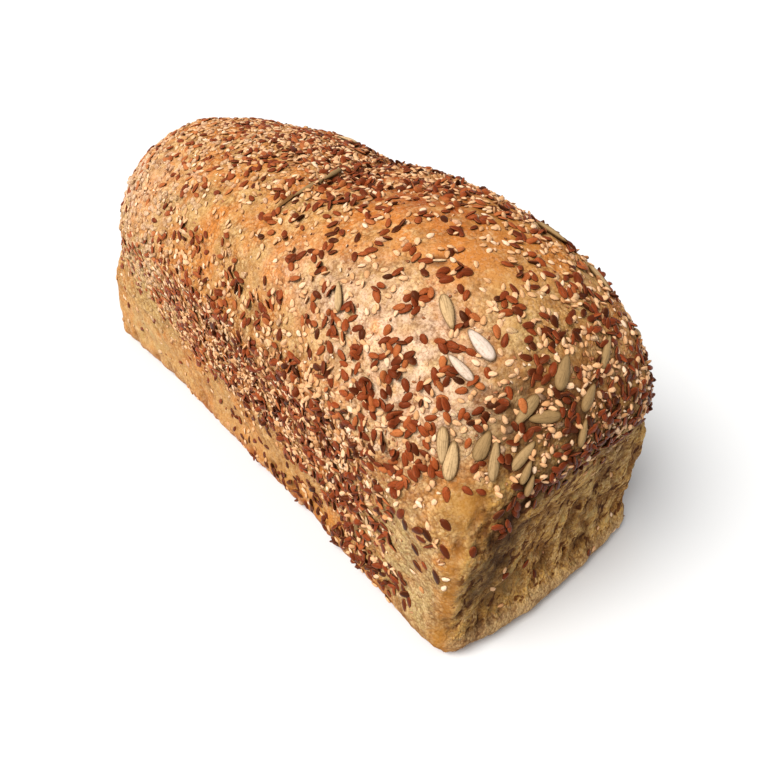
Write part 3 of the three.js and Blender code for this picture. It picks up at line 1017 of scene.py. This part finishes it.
# Sunflower kernels that show: tip, round end, width, and how pale each is.
kernels = [
    (99, -32, 109, 109, -31, 103, 4.7, 0.95),
    (96, -35, 108, 87, -31, 114, 4.1, 0.6),
    (99, -39, 103, 108, -37, 98, 3.2, 0.9),
    (119, -12, 103, 123, -20, 96, 4.9, 0.3),
    (121, -33, 89, 121, -25, 96, 4.2, 0.35),
    (122, -29, 90, 127, -21, 91, 4.2, 0.25),
    (126, -29, 85, 125, -36, 77, 3.8, 0.4),
    (119, -37, 85, 123, -41, 74, 3.4, 0.45),
    (117, -38, 87, 118, -43, 79, 4.6, 0.3),
    (111, -49, 76, 107, -46, 86, 3.8, 0.55),
    (111, -45, 83, 114, -49, 72, 4.7, 0.6),
    (127, -31, 80, 127, -34, 73, 2.8, 0.3),
    (129, -31, 76, 129, -33, 69, 2.6, 0.3),
    (90, 21, 117, 78, 20, 120, 4.0, 0.4),
    (120, 8, 103, 125, -1, 97, 3.4, 0.35),
    (58, -45, 109, 64, -50, 103, 2.8, 0.6),
    (12, -31, 118, 12, -18, 121, 2.4, 0.3),
    (14, -19, 120, 8, -7, 121, 2.6, 0.3),
    (5, -8, 122, 2, 2, 122, 3.2, 0.5),
    (126, -7, 95, 129, -14, 90, 4.4, 0.3),
    (130, -13, 88, 132, -16, 80, 3.0, 0.3),
]
offUpright = Vector((0.3, 0.2, 1)).normalized()


def randomFrom(seed):
    # the same random numbers as the solid's source draws
    state = [seed]

    def draw():
        state[0] = (state[0] + 0x6D2B79F5) & 0xFFFFFFFF
        t = ((state[0] ^ (state[0] >> 15)) * (1 | state[0])) & 0xFFFFFFFF
        t = ((t + (((t ^ (t >> 7)) * (61 | t)) & 0xFFFFFFFF)) ^ t) & 0xFFFFFFFF
        return (t ^ (t >> 14)) / 4294967296

    return draw


def boxPoint(pick, a, b):
    across = 2 * loaf["halfWidth"]
    around = across + 2 * loaf["crown"]
    long = loaf["nearHalf"] + loaf["farHalf"]
    endsShare = (2 * across * loaf["crown"]) / (around * long + 2 * across * loaf["crown"])
    if pick < endsShare:
        x = loaf["nearHalf"] if pick < endsShare / 2 else -loaf["farHalf"]
        return (x, (a - 0.5) * across, b * loaf["crown"])
    x = a * long - loaf["farHalf"]
    turn = b * around - loaf["crown"]
    if turn < 0:
        return (x, -loaf["halfWidth"], loaf["crown"] + turn)
    if turn > across:
        return (x, loaf["halfWidth"], loaf["crown"] - (turn - across))
    return (x, turn - loaf["halfWidth"], loaf["crown"])


def solidSeeding(points):
    endShare = rising(np.abs(points[:, 0]), *scatter["end"])
    upper = blendOf(scatter["leastUpper"], 1, rising(points[:, 2], *scatter["upper"]))
    return leftAt(points, barePlaces, blendOf(rising(points[:, 2], *scatter["side"]), upper, endShare))


def solidSpots():
    # spots of the scattered kernels and linseeds that are fused to the solid
    draw = randomFrom(scatter["seed"])
    rows = np.array([[draw() for i in range(6)] for row in range(scatter["tries"])])
    points, rays = castOut(np.array([boxPoint(*row[:3]) for row in rows]))
    wanted = rows[:, 3] < solidSeeding(points)
    outOfSight = (points[:, 1] > scatter["behind"]) | (points[:, 0] < scatter["beyond"])
    taken = [(np.array(kernel[:3], float) + kernel[3:6]) / 2 for kernel in kernels]
    found = []
    row = 0
    kinds = (("kernels", "kernelGap", outOfSight), ("linseeds", "linseedGap", np.ones(len(rows), bool)))
    for count, gap, allowed in kinds:
        spots = []
        while len(spots) < scatter[count] and row < len(rows):
            away = np.linalg.norm(np.array(taken) - points[row], axis=1).min()
            if wanted[row] and allowed[row] and away > scatter[gap]:
                taken.append(points[row])
                scale = scatter["leastScale"] + scatter["scaleRange"] * rows[row, 5]
                spots.append((points[row], rows[row, 4] * 2 * math.pi, scale))
            row += 1
        found.append(spots)
    print("rows drawn:", row)
    return found


def bedOn(aim):
    # the crust's point under an aim, and the way the loaf faces there
    starts, rays = raysTo(np.array([aim], float))
    point, facing, index, distance = crustTree.ray_cast(Vector(starts[0]), Vector(rays[0]))
    body = crustNormals[crustFaces[index]].mean(axis=0)
    return np.array(point), body / np.linalg.norm(body)


def seedFrame(point, normal, heading, size, lift, tilt=0.0, roll=0.0):
    # columns: half sizes along the seed, across it and up
    up = Vector(normal)
    side = up.cross(Vector(heading)).normalized()
    along = side.cross(up)
    turned = Matrix.Rotation(tilt, 3, side) @ Matrix.Rotation(roll, 3, along)
    made = np.eye(4)
    made[:3, 0] = np.array(turned @ along) * size["length"] / 2
    made[:3, 1] = np.array(turned @ side) * size["width"] / 2
    made[:3, 2] = np.array(turned @ up) * size["thickness"] / 2
    made[:3, 3] = np.array(point) + np.array(normal) * lift * size["thickness"]
    return made


def headingOf(normal, turn):
    level = offUpright.cross(Vector(normal)).normalized()
    return Matrix.Rotation(turn, 3, Vector(normal)) @ level


def scaledSize(size, scale):
    return {"length": size["length"] * scale, "width": size["width"] * scale, "thickness": size["thickness"]}


piles = {kind: [] for kind in seedShapes}  # frame and tone of each seed that is laid
crowd = {}  # laid seeds by their cell, for the gaps between them
cell = 4.0


def cellOf(point):
    return tuple(int(math.floor(c / cell)) for c in point)


def remember(point, reach):
    crowd.setdefault(cellOf(point), []).append((tuple(point), reach))


def layKernel(tip, tail, width, thickness, pale):
    length = float(np.linalg.norm(tip - tail))
    size = {"length": length, "width": width, "thickness": thickness}
    setKernel((tip + tail) / 2, tip - tail, size, pale, solidSeeds["shownLift"])


def setKernel(middle, heading, size, pale, lift):
    point, normal = bedOn(middle)
    piles["kernel"].append((seedFrame(point, normal, heading, size, lift), pale))
    along = Vector(heading).normalized()
    for share in solidSeeds["kernelParts"]:
        remember(point + np.array(along) * share * size["length"], size["width"] * solidSeeds["kernelReach"])


def laySolidSeeds():
    random = np.random.RandomState(solidSeeds["seed"])
    for *ends, width, pale in kernels:
        layKernel(np.array(ends[:3], float), np.array(ends[3:], float), width, kernelSize["thickness"], pale)
    kernelSpots, linseedSpots = solidSpots()
    for point, turn, scale in kernelSpots:
        heading = headingOf(bedOn(point)[1], turn)
        pale = random.uniform(*solidSeeds["pale"])
        setKernel(point, heading, scaledSize(kernelSize, scale), pale, solidSeeds["lift"])
    for point, turn, scale in linseedSpots:
        if shareAt(np.array([point]), bareCorner)[0] > solidSeeds["bare"]:
            continue
        place, normal = bedOn(point)
        size = scaledSize(linseedSize, scale * solidSeeds["linseedScale"])
        made = seedFrame(place, normal, headingOf(normal, turn), size, solidSeeds["lift"])
        piles["linseed"].append((made, random.beta(solidSeeds["toneSpread"], solidSeeds["toneSpread"])))
        remember(place, solidSeeds["linseedReach"])


laySolidSeeds()
print("seeds of the solid laid:", len(piles["kernel"]), len(piles["linseed"]))

# Seeds set one by one: how they lie, then place, length, turn from +X towards +Z, and tone of each.
seedsByHand = [
    # dark, and sunk flush in the pale skin at the near corner
    {"kind": "linseed", "longer": 1.12, "width": 2.95, "thickness": 1.2, "lift": 0.05, "reach": 1.2,
     "seeds": [
        (106, -56, 52, 5.0, -92, 0.04), (115, -56, 55, 4.6, -41, 0.02), (113, -56, 52, 3.6, 3, 0.25),
        (93, -54, 36, 3.9, -1, 0.08), (111, -56, 44, 4.4, -60, 0.02), (118, -52, 60, 4.3, -25, 0.16),
        (121, -54, 52, 4.8, -48, 0.18), (112, -55, 36, 4.6, -31, 0.1), (120, -55, 40, 6.2, -76, 0.04),
        (127, -49, 53, 4.3, -102, 0.24), (95, -54, 29, 5.5, -87, 0.3), (115, -50, 68, 4.4, -70, 0.7),
        (93, -55, 45, 2.6, 20, 0.1), (101, -56, 69, 4.0, 72, 0.6), (105, -54, 70, 4.2, -34, 0.5),
        (102, -53, 75, 4.0, -44, 0.6), (109, -50, 75, 4.1, -54, 0.75), (94, -53, 19, 4.4, -20, 0.2),
        (97, -53, 17, 4.6, -33, 0.2), (98, -53, 22, 4.2, -60, 0.12), (101, -53, 20, 4.6, -33, 0.15),
        (102, -53, 15, 4.4, -52, 0.22), (104, -53, 23, 4.8, -59, 0.25), (106, -53, 18, 4.8, -56, 0.16),
        (107, -53, 12, 4.4, -64, 0.2), (109, -53, 16, 4.4, -72, 0.25),
    ]},
    # lies on a kernel
    {"kind": "linseed", "longer": 1.12, "width": 2.95, "thickness": 1.2, "lift": 1.9, "reach": 1.2,
     "seeds": [
        (120, -30, 94, 4.2, -60, 0.95),
    ]},
    {"kind": "sesame", "longer": 1.0, "width": 2.1, "thickness": 1.1, "lift": 0.25, "reach": 1.0,
     "seeds": [
        (124, -55, 42, 3.4, 30, 0.95), (123, -54, 37, 3.6, 70, 0.95),
        (98, -54, 61, 3.2, 50, 0.95), (108, -52, 62, 3.0, -20, 0.95),
    ]},
]

# Thin pale slivers of husk and of broken kernels: ends, width, and how pale each is.
sliverThickness = 0.9
slivers = [
    (80, -53, 31, 79, -53, 19, 2.6, 0.12),
    (86, -54, 37, 86, -54, 31, 1.9, 0.7),
    (76, -27, 119, 80, -23, 119, 1.0, 0.75),
    (10, -37, 116, 9, -28, 118, 2.0, 0.02),
]


def layByHand():
    for lot in seedsByHand:
        for *place, length, turn, tone in lot["seeds"]:
            point, normal = bedOn(place)
            heading = (math.cos(math.radians(turn)), 0, math.sin(math.radians(turn)))
            size = dict(lot, length=length * lot["longer"])
            piles[lot["kind"]].append((seedFrame(point, normal, heading, size, lot["lift"]), tone))
            remember(point, lot["reach"])
    for *ends, width, pale in slivers:
        layKernel(np.array(ends[:3], float), np.array(ends[3:], float), width, sliverThickness, pale)


layByHand()

# The many small seeds, and how they are spread.
seeding = {
    "tries": 150000,
    "seed": 4219,
    "spare": 1.15,  # more than asked for, as some find no room
    "scale": (0.82, 1.14),
    "toneSpread": 1.7,
    "mostLean": 1.5,
    "lowest": 4,  # mm
    "clump": (3.6, 3.4),  # how uneven, and the most
    "thickClump": (1.8, 0.1, 2.2),  # how uneven, the least and the most
    "lowPlaces": 30,  # below this height the places say all
    "line": {"near": 15, "sway": 8, "rises": [(19, 84, 70), (16, -40, 30)]},  # on the long sides
    "underLine": (0.12, -6, 12),  # share under the seed line, and the height over which it grows
    "lowEnd": (0.03, 58, 26),  # the same for the ends
    "end": (104, 16),
    "endFacing": 0.4,
}

# Each kind's size and the room it takes (mm), its number to a square millimetre, and how much it clumps.
smallSeeds = {
    "linseed": {"length": 4.25, "width": 2.6, "thickness": 1.35, "reach": 1.0, "number": 0.02, "clumps": 1.0},
    "sesame": {"length": 2.95, "width": 2.1, "thickness": 1.15, "reach": 0.82, "number": 0.03, "clumps": -0.5},
    "coated": {"length": 3.9, "width": 2.8, "thickness": 2.1, "reach": 1.1, "number": 0.008, "clumps": 0.3},
    "crumb": {"length": 1.7, "width": 1.2, "thickness": 0.9, "reach": 0.45, "number": 0.02, "clumps": 0.5},
}

# How a seed lies: its lift in thicknesses, and its lean.
lying = {
    "free": (0.18, 0.16),
    "crowded": (0.42, 0.5),
    "coated": (-0.1, 0.1),
    "crumb": (0.1, 0.5),
    "sway": 0.1,
    "roll": 1.2,
    "widths": 0.08,
    "noRoom": 0.72,  # of both seeds' reaches
    "crowd": 1.15,
    "flatter": (0.6, 10, 80),  # towards the far end
    # painted shade: linseeds darker towards the near end, where the loaf turns away from the light
    "nearEndShade": (0.45, 108, 14),  # linseeds of the near end
    "crowdedSesame": 0.75,
    "sunk": {"above": 2, "over": 6, "facing": 0.6, "lift": 0.2, "darker": 0.6},  # below the seed line
    "farPaler": 0.3,
}

# Where fewer lie: centre, reach, and the share of each kind that is left.
bareSpots = [
    (8, -52, 104, 34, 12, 7, 0.1, 0.15, 0.3, 0.4),  # ridge
    (109, -56, 42, 16, 12, 26, 0.0, 0.0, 0.0, 0.0),
    (120, -48, 62, 11, 12, 11, 0.0, 0.0, 0.0, 0.0),
    (118, -52, 18, 11, 12, 22, 0.0, 0.0, 0.0, 0.0),
    (-90, -48, 84, 36, 20, 34, 0.6, 0.35, 1.0, 0.5),
    (76, -14, 120, 34, 20, 14, 0.2, 0.7, 0.0, 0.1),
    (90, -42, 106, 22, 14, 16, 0.3, 0.8, 0.2, 0.2),
    (-96, -54, 16, 40, 12, 16, 0.3, 0.2, 0.5, 0.4),
    (20, -60, 82, 7, 8, 6, 0.1, 0.1, 0.1, 0.2),
]

# Where more lie: centre, reach, and seeds to a square millimetre.
thickPlaces = [
    (24, -58, 58, 50, 14, 24, 0.17, 0.16, 0, 0.2),  # dense band
    (74, -57, 62, 26, 14, 28, 0.15, 0.12, 0, 0.14),
    (-24, -58, 60, 30, 14, 24, 0.1, 0.1, 0, 0.14),
    (92, -54, 84, 16, 12, 14, 0.06, 0.05, 0, 0.03),
    (80, -54, 32, 12, 8, 26, 0.16, 0.06, 0, 0.06),
    (0, 6, 122, 50, 22, 12, 0.12, 0.13, 0, 0.12),  # crest
    (22, -14, 121, 18, 16, 10, 0.08, 0.04, 0, 0.06),
    (-46, -10, 121, 36, 24, 14, 0.06, 0.1, 0.03, 0.1),
    (60, 20, 122, 40, 16, 12, 0.06, 0.1, 0, 0.05),
    (112, 6, 106, 16, 20, 14, 0.05, 0.08, 0, 0.06),
    (122, -14, 94, 12, 26, 14, 0.06, 0.06, 0, 0.08),
    (131, 4, 82, 10, 34, 13, 0.17, 0.06, 0, 0.1),
    (112, -44, 86, 14, 10, 12, 0.04, 0.06, 0, 0.03),
    (-84, -48, 90, 40, 18, 34, 0.01, 0.02, 0.11, 0.05),
    (-76, -54, 50, 34, 12, 22, 0.05, 0.03, 0.09, 0.06),
    (10, 58, 62, 80, 14, 24, 0.07, 0.07, 0, 0.05),  # out of sight
    (-134, 4, 84, 12, 34, 20, 0.03, 0.04, 0, 0.03),
    (129, -37, 60, 6, 5, 8, 0.2, 0.03, 0, 0),
    (131, -27, 69, 6, 6, 5, 0.2, 0.06, 0, 0),
    (100, -54, 18, 7, 6, 6, 0.25, 0.03, 0, 0),
    (84, -54, 12, 12, 6, 6, 0.2, 0.06, 0, 0),
    (44, -53, 10, 40, 6, 6, 0.1, 0.03, 0, 0),
    (129, -4, 24, 5, 30, 12, 0.005, 0.002, 0, 0),
]

# Knots of seeds that show: place, linseeds, sesame seeds, and how far they spread (mm).
seedKnots = [
    (82, -38, 111, 7, 2, 4.0), (83, -28, 117, 3, 0, 1.8), (86, -21, 118, 4, 0, 2.2),
    (72, -13, 122, 3, 1, 2.2), (78, -20, 120, 2, 2, 1.8), (96, -5, 117, 3, 0, 2.0),
    (71, -28, 119, 2, 0, 1.5), (60, -14, 123, 3, 1, 2.5), (73, -35, 115, 1, 1, 1.2),
    (101, -19, 113, 7, 5, 4.5), (113, 7, 108, 8, 2, 4.5), (97, -31, 110, 5, 1, 3.0),
    (91, -41, 105, 1, 0, 1.0), (100, -37, 104, 3, 0, 2.0), (96, -39, 104, 2, 0, 1.6),
    (101, -42, 98, 9, 1, 4.6), (105, -44, 92, 3, 0, 2.2), (84, -47, 101, 5, 1, 3.0),
    (89, -49, 97, 7, 1, 4.0), (94, -53, 85, 7, 2, 4.0), (104, -48, 85, 4, 0, 3.0),
    (114, -39, 89, 3, 1, 2.5), (116, -34, 93, 3, 0, 2.5), (110, -18, 108, 5, 3, 3.5),
    (115, -13, 106, 4, 1, 3.0), (116, -5, 106, 3, 1, 3.0), (118, -23, 100, 3, 0, 2.5),
    (125, -19, 94, 3, 1, 2.5), (104, 10, 113, 3, 1, 2.5), (84, 14, 120, 3, 1, 2.5),
    (74, 15, 122, 3, 1, 2.5), (73, 1, 122, 3, 1, 2.5), (125, -1, 97, 3, 2, 4.0),
    (130, -2, 89, 3, 1, 4.0), (34, -47, 107, 5, 0, 2.4), (48, -45, 110, 3, 1, 2.2),
    (57, -47, 107, 1, 0, 1.0), (65, -48, 105, 2, 0, 1.2), (50, -55, 96, 1, 0, 1.0),
    (53, -52, 100, 1, 0, 1.0), (64, -53, 98, 3, 0, 2.0), (75, -53, 96, 3, 0, 2.0),
    (11, -39, 113, 6, 1, 4.0), (22, -42, 111, 2, 0, 1.5), (5, -32, 118, 3, 1, 3.0),
    (24, -26, 120, 6, 0, 3.2), (47, -25, 121, 2, 0, 1.2), (58, -32, 118, 2, 1, 1.6),
    (33, -23, 122, 3, 1, 2.5), (-49, -33, 116, 3, 1, 2.5), (-20, -26, 120, 4, 1, 3.0),
    (-16, -21, 121, 3, 0, 2.5), (-53, -58, 67, 2, 0, 2.0), (1, -60, 76, 4, 0, 3.0),
    (-20, -56, 93, 3, 0, 2.5), (30, -57, 91, 5, 0, 4.0), (37, -53, 98, 3, 1, 2.5),
    (79, -56, 88, 5, 2, 4.0), (86, -55, 86, 4, 1, 3.0), (104, -53, 74, 6, 2, 4.0),
    (102, -56, 67, 3, 1, 3.0), (-10, -55, 36, 4, 1, 3.0), (8, -55, 38, 5, 1, 3.0),
    (22, -55, 34, 6, 1, 3.0), (34, -54, 26, 6, 0, 3.0), (44, -54, 31, 7, 0, 3.5),
    (52, -53, 19, 6, 0, 3.0), (62, -53, 25, 7, 1, 3.5), (70, -53, 14, 6, 0, 3.0),
    (74, -53, 34, 6, 0, 3.5), (129, -39, 58, 5, 0, 3.0), (130, -36, 65, 6, 1, 3.5),
    (131, -29, 70, 6, 1, 4.0), (131, -18, 73, 5, 1, 4.0), (132, -8, 76, 6, 1, 4.5),
    (132, 4, 74, 5, 2, 4.5), (131, 16, 77, 6, 1, 5.0), (130, 28, 78, 5, 2, 5.0),
    (128, 38, 76, 4, 1, 5.0),
]

# How a knot's seeds are tried: each new try may lie a little further out.
knots = {"seed": 88, "attempts": 14, "spread": 0.5, "wider": 0.04, "scale": (0.9, 1.14)}


def leansFrom(random, shape):
    return np.clip(random.normal(0, 1, shape), -seeding["mostLean"], seeding["mostLean"])


def tonesFrom(random, count=None):
    return random.beta(seeding["toneSpread"], seeding["toneSpread"], count)


def seedLineHeight(points):
    # The lower edge of the seeds on the long sides rises away from the near end, unevenly.
    line = seeding["line"]
    height = line["near"]
    for rise, start, over in line["rises"]:
        height = height + rise * falling(points[:, 0], start, over)
    return height + line["sway"] * fieldOf(points, "seedLine")


def seedDensity(points, normals):
    under, *span = seeding["underLine"]
    sides = blendOf(under, 1, rising(points[:, 2] - seedLineHeight(points), *span))
    least, *span = seeding["lowEnd"]
    upper = blendOf(least, 1, rising(points[:, 2], *span))
    facing = np.abs(normals[:, 0]) > seeding["endFacing"]
    share = blendOf(sides, upper, rising(np.abs(points[:, 0]), *seeding["end"]) * facing)
    share = blendOf(share, upper, endShareOf(points, normals))
    clumps = fieldOf(points, "clumps")
    density = {}
    for column, (kind, seed) in enumerate(smallSeeds.items(), 6):
        uneven, most = seeding["clump"]
        amount = seed["number"] * share * np.clip(1 + uneven * seed["clumps"] * clumps, 0, most)
        uneven, least, most = seeding["thickClump"]
        clumped = np.clip(1 + uneven * seed["clumps"] * clumps, least, most)
        for place in thickPlaces:
            kept = 1.0 if place[2] < seeding["lowPlaces"] else share
            amount += place[column] * (clumped * kept) * nearness(points, place)
        for place in bareSpots:
            amount *= 1 - (1 - place[column]) * nearness(points, place)
        density[kind] = amount
    return density


def crustSamples(count, random):
    # points spread evenly over the crust, with the way that the loaf faces at each
    corners = np.array([f for f in crustFaces if len(f) == 4])
    triangles = np.concatenate((corners[:, :3], corners[:, [0, 2, 3]]))
    a, b, c = (crustPoints[triangles[:, i]] for i in range(3))
    areas = np.linalg.norm(np.cross(b - a, c - a), axis=1) / 2
    ladder = np.cumsum(areas)
    picks = np.searchsorted(ladder, random.uniform(0, ladder[-1], count))
    u, v = random.uniform(0, 1, (2, count))
    u, v = np.where(u + v > 1, 1 - u, u), np.where(u + v > 1, 1 - v, v)
    weights = np.stack((1 - u - v, u, v), axis=1)[:, :, None]
    points = (crustPoints[triangles[picks]] * weights).sum(axis=1)
    normals = (crustNormals[triangles[picks]] * weights).sum(axis=1)
    return points, normals / np.linalg.norm(normals, axis=1, keepdims=True), ladder[-1]


def crowding(point, reach):
    # 0 where a seed lies free, 1 where it leans on another, 2 where there is no room
    state = 0
    cx, cy, cz = cellOf(point)
    for i, j, k in itertools.product((-1, 0, 1), repeat=3):
        for other, far in crowd.get((cx + i, cy + j, cz + k), ()):
            away = math.dist(point, other)
            if away < (reach + far) * lying["noRoom"]:
                return 2
            if away < (reach + far) * lying["crowd"]:
                state = 1
    return state


def laySeed(kind, point, normal, turn, scale, tone, leans):
    # one small seed, unless others leave no room for it
    size = smallSeeds[kind]
    state = crowding(point, size["reach"])
    if state == 2:
        return False
    lift, spread = lying.get(kind, lying["crowded" if state else "free"])
    lift += lying["sway"] * leans[2]
    flatter, *span = lying["flatter"]
    away = float(falling(point[0], *span))
    lift *= 1 - flatter * away
    spread *= 1 - flatter * away
    if kind == "sesame" and state == 1:
        tone *= lying["crowdedSesame"]
    if kind == "linseed":
        # painted shade towards the near end
        darker, *span = lying["nearEndShade"]
        tone *= 1 - darker * float(rising(point[0], *span))
        sunk = lying["sunk"]
        line = seedLineHeight(np.array([point]))[0] + sunk["above"]
        low = float(falling(point[2], line, sunk["over"])) * (abs(normal[1]) > sunk["facing"])
        lift -= sunk["lift"] * low
        tone = tone * (1 - sunk["darker"] * low) + lying["farPaler"] * away
    size = scaledSize(dict(size, width=size["width"] * (1 + lying["widths"] * leans[0])), scale)
    lean, roll = spread * leans[0], lying["roll"] * spread * leans[1]
    made = seedFrame(point, normal, headingOf(normal, turn), size, lift, lean, roll)
    piles[kind].append((made, tone))
    remember(point, smallSeeds[kind]["reach"])
    return True


def layKnots():
    random = np.random.RandomState(knots["seed"])
    for x, y, z, linseeds, sesames, reach in seedKnots:
        middle, normal = bedOn((x, y, z))
        for kind in ["linseed"] * linseeds + ["sesame"] * sesames:
            for attempt in range(knots["attempts"]):
                aside = random.normal(0, knots["spread"] + knots["wider"] * attempt, 3) * reach
                point, facing = bedOn(middle + aside - normal * (aside @ normal))
                leans = leansFrom(random, 3)
                turn, scale = random.uniform(0, 2 * math.pi), random.uniform(*knots["scale"])
                if laySeed(kind, point, facing, turn, scale, tonesFrom(random), leans):
                    break


def laySmallSeeds():
    random = np.random.RandomState(seeding["seed"])
    count = seeding["tries"]
    points, normals, area = crustSamples(count, random)
    density = seedDensity(points, normals)
    chances = random.uniform(0, 1, count)
    turns = random.uniform(0, 2 * math.pi, count)
    tints = tonesFrom(random, count)
    leans = leansFrom(random, (count, 3))
    scales = random.uniform(*seeding["scale"], count)
    kinds = list(density)
    ladder = np.cumsum([density[kind] * (area / count) * seeding["spare"] for kind in kinds], axis=0)
    picked = (chances[None, :] >= ladder).sum(axis=0)
    for i in np.nonzero((picked < len(kinds)) & (points[:, 2] > seeding["lowest"]))[0]:
        laySeed(kinds[picked[i]], points[i], normals[i], turns[i], scales[i], tints[i], leans[i])


layKnots()
laySmallSeeds()
print("small seeds laid:", {kind: len(pile) for kind, pile in piles.items()})

# Painted shade on the crust round the seeds, darkest where they crowd: reach, share, and places along the
# seed.
paintedSeedShade = {
    "linseed": (1.8, 0.26, (0.0,)),
    "kernel": (2.6, 0.75, (-0.6, 0.0, 0.6)),
    "sesame": (1.3, 0.22, (0.0,)),
}
seedShadeTone = {"most": 0.75, "span": (0.2, 1.2), "within": 1.6}


def seedShadeOf(points):
    tree = KDTree(len(points))
    for i, point in enumerate(points):
        tree.insert(point, i)
    tree.balance()
    seedShade = np.zeros(len(points))
    for kind, (reach, share, along) in paintedSeedShade.items():
        for (made, tone), part in itertools.product(piles[kind], along):
            middle = Vector(made[:3, 3] + part * made[:3, 0])
            for place, index, away in tree.find_range(middle, seedShadeTone["within"] * reach):
                seedShade[index] += share * math.exp(-(away / reach) ** 2)
    # a first seed paints little shade, and a few together much
    return seedShadeTone["most"] * rising(seedShade, *seedShadeTone["span"])


finishCrust(seedShadeOf(crustPoints))
print("crust finished")

# Seed coats: a ramp from the darkest seed to the palest, colours of the tip, rim and underside, how
# much the rim's colour covers, grain of the mottle in mm, roughness and gloss. The underside's colour is
# painted shade; the rim's is a painted highlight on linseeds and painted shade on kernels.
seedCoats = {
    "linseed": {
        "name": "brown linseed coat",
        "ramp": [(0.0, "#321508"), (0.14, "#4C1D0A"), (0.4, "#742F15"), (0.72, "#90421E"), (1.0, "#B26838")],
        "tip": "#40200F", "rim": "#B4683E", "under": "#30140A",
        "rimShare": 0.28, "streak": 0.5, "rough": 0.38, "gloss": 0.13,
    },
    "sesame": {
        "name": "toasted sesame hull",
        "ramp": [(0.0, "#B47A48"), (0.25, "#D2A274"), (0.6, "#E0B48A"), (1.0, "#EACEB0")],
        "tip": "#B0794A", "rim": "#C79A6A", "under": "#7A4A2A",
        "rimShare": 0.35, "streak": 0.8, "rough": 0.5, "gloss": 0.12,
    },
    "kernel": {
        "name": "toasted sunflower kernel",
        "ramp": [(0.0, "#6E4522"), (0.12, "#7C5E38"), (0.4, "#9C7E56"), (0.7, "#CCA97C"), (1.0, "#CCBAAE")],
        "tip": "#6E5636", "rim": "#6A4E2C", "under": "#3E2610",
        "rimShare": 0.75, "streak": 0.7, "rough": 0.6, "gloss": 0.12,
    },
    "crumb": {
        "name": "bran and crust crumbs",
        "ramp": [(0.0, "#5C2F1E"), (0.35, "#93573A"), (0.6, "#C99B74"), (1.0, "#EED7B8")],
        "tip": "#A87348", "rim": "#C79A6A", "under": "#5A3220",
        "rimShare": 0.2, "streak": 0.6, "rough": 0.7, "gloss": 0.1,
    },
}
seedStreaks = {"stretch": (0.7, 5.0, 90.0), "scale": 1.3}  # along the seed, across it, and from seed to seed
seedSheen = "#FFC8A0"


def makeSeedMaterial(kind):
    # A seed's own coat: each has its tone, its tip differs, its rim takes a painted highlight on linseeds and
    # painted shade on kernels, its underside painted shade, and fine streaks run lengthways.
    look = dict(seedCoats[kind], bumps=[(0.35, 0.12, "mottle"), (0.4, 0.2, "streaks")])
    look["layers"] = [
        ("along", (0.7, 1.0, 0.0, 0.6), None, "tip", "MIX"),
        # the rim band: a painted highlight on linseeds, painted shade on kernels
        ("above", (0.62, 0.25, 0.0, look["rimShare"]), None, "rim", "MIX"),
        # painted shade on the underside, where each seed meets the crust
        ("above", (0.25, -0.05, 0.0, 0.9), None, "under", "MIX"),
        ("streaks", (0.5, 0.66, 0.0, 0.6), "darkSeeds", "tip", "MIX"),
        ("mottle", (0.45, 0.7, 0.0, 0.3), None, "tip", "MIX"),
    ]
    material = newMaterial(look["name"])
    sources = {}
    for name in ("tone", "along", "across", "above"):
        sources[name] = addNode(material, "ShaderNodeAttribute", attribute_name=name).outputs["Fac"]
    stops = [(position, linear(code)) for position, code in look["ramp"]]
    colour = addNode(material, "ShaderNodeValToRGB", {"Fac": sources["tone"]}, stops).outputs[0]
    at = {"X": sources["along"], "Y": sources["across"], "Z": sources["tone"]}
    at = {"Vector": addNode(material, "ShaderNodeCombineXYZ", at).outputs[0], "Scale": seedStreaks["stretch"]}
    streaks = {"Vector": addNode(material, "ShaderNodeMapping", at).outputs[0]}
    streaks.update({"Scale": seedStreaks["scale"], "Detail": 2.0})
    sources["streaks"] = addNode(material, "ShaderNodeTexNoise", streaks).outputs["Fac"]
    sources["darkSeeds"] = coverOf(material, sources, "tone", (0.6, 0.9, 1.0, 0.3))
    where = addNode(material, "ShaderNodeTexCoord").outputs["Object"]
    mottle = {"Vector": where, "Scale": perMetre(look["streak"]), "Detail": 2.0}
    sources["mottle"] = addNode(material, "ShaderNodeTexNoise", mottle).outputs["Fac"]
    coat = {"Roughness": look["rough"], "Specular Tint": linear(seedSheen)}
    return dressMaterial(material, look, sources, colour, coat)


# The name and slot of each kind's piece.
pieces = {
    "kernel": ("sunflower_kernels", "sunflower_kernel"),
    "linseed": ("linseeds", "linseed"),
    "sesame": ("sesame_seeds", "sesame"),
    "coated": ("coated_seeds", "crust"),
    "crumb": ("crumbs", "crust"),
}
# the hollow share given to coated seeds is painted shade
coating = {"hollow": 0.15, "floury": 0.15, "flouryBy": 0.6}  # tones of the skin over coated seeds


def finishSeeds():
    for kind, (name, slot) in pieces.items():
        frames = np.array([made for made, tone in piles[kind]])
        tones = {"tone": np.array([tone for made, tone in piles[kind]])}
        if kind == "coated":
            # seeds under a skin of crust take the crust's own tones
            floury = coating["floury"] + coating["flouryBy"] * tones["tone"]
            facing = frames[:, :3, 2] / np.linalg.norm(frames[:, :3, 2], axis=1, keepdims=True)
            tones = crustTones(frames[:, :3, 3], facing)
            # a little painted shade over each coated seed
            tones["hollow"] = np.full(len(frames), coating["hollow"])
            tones["floury"] = np.clip(tones["floury"] + floury, 0, 1)
        data = joinedCopies(name, kind, frames, tones)
        finishPiece(data, name, crustMaterial if kind == "coated" else makeSeedMaterial(kind))
        print(name, len(frames), "seeds", sum(len(p.vertices) - 2 for p in data.polygons), "triangles")


finishSeeds()
print("seeds finished")
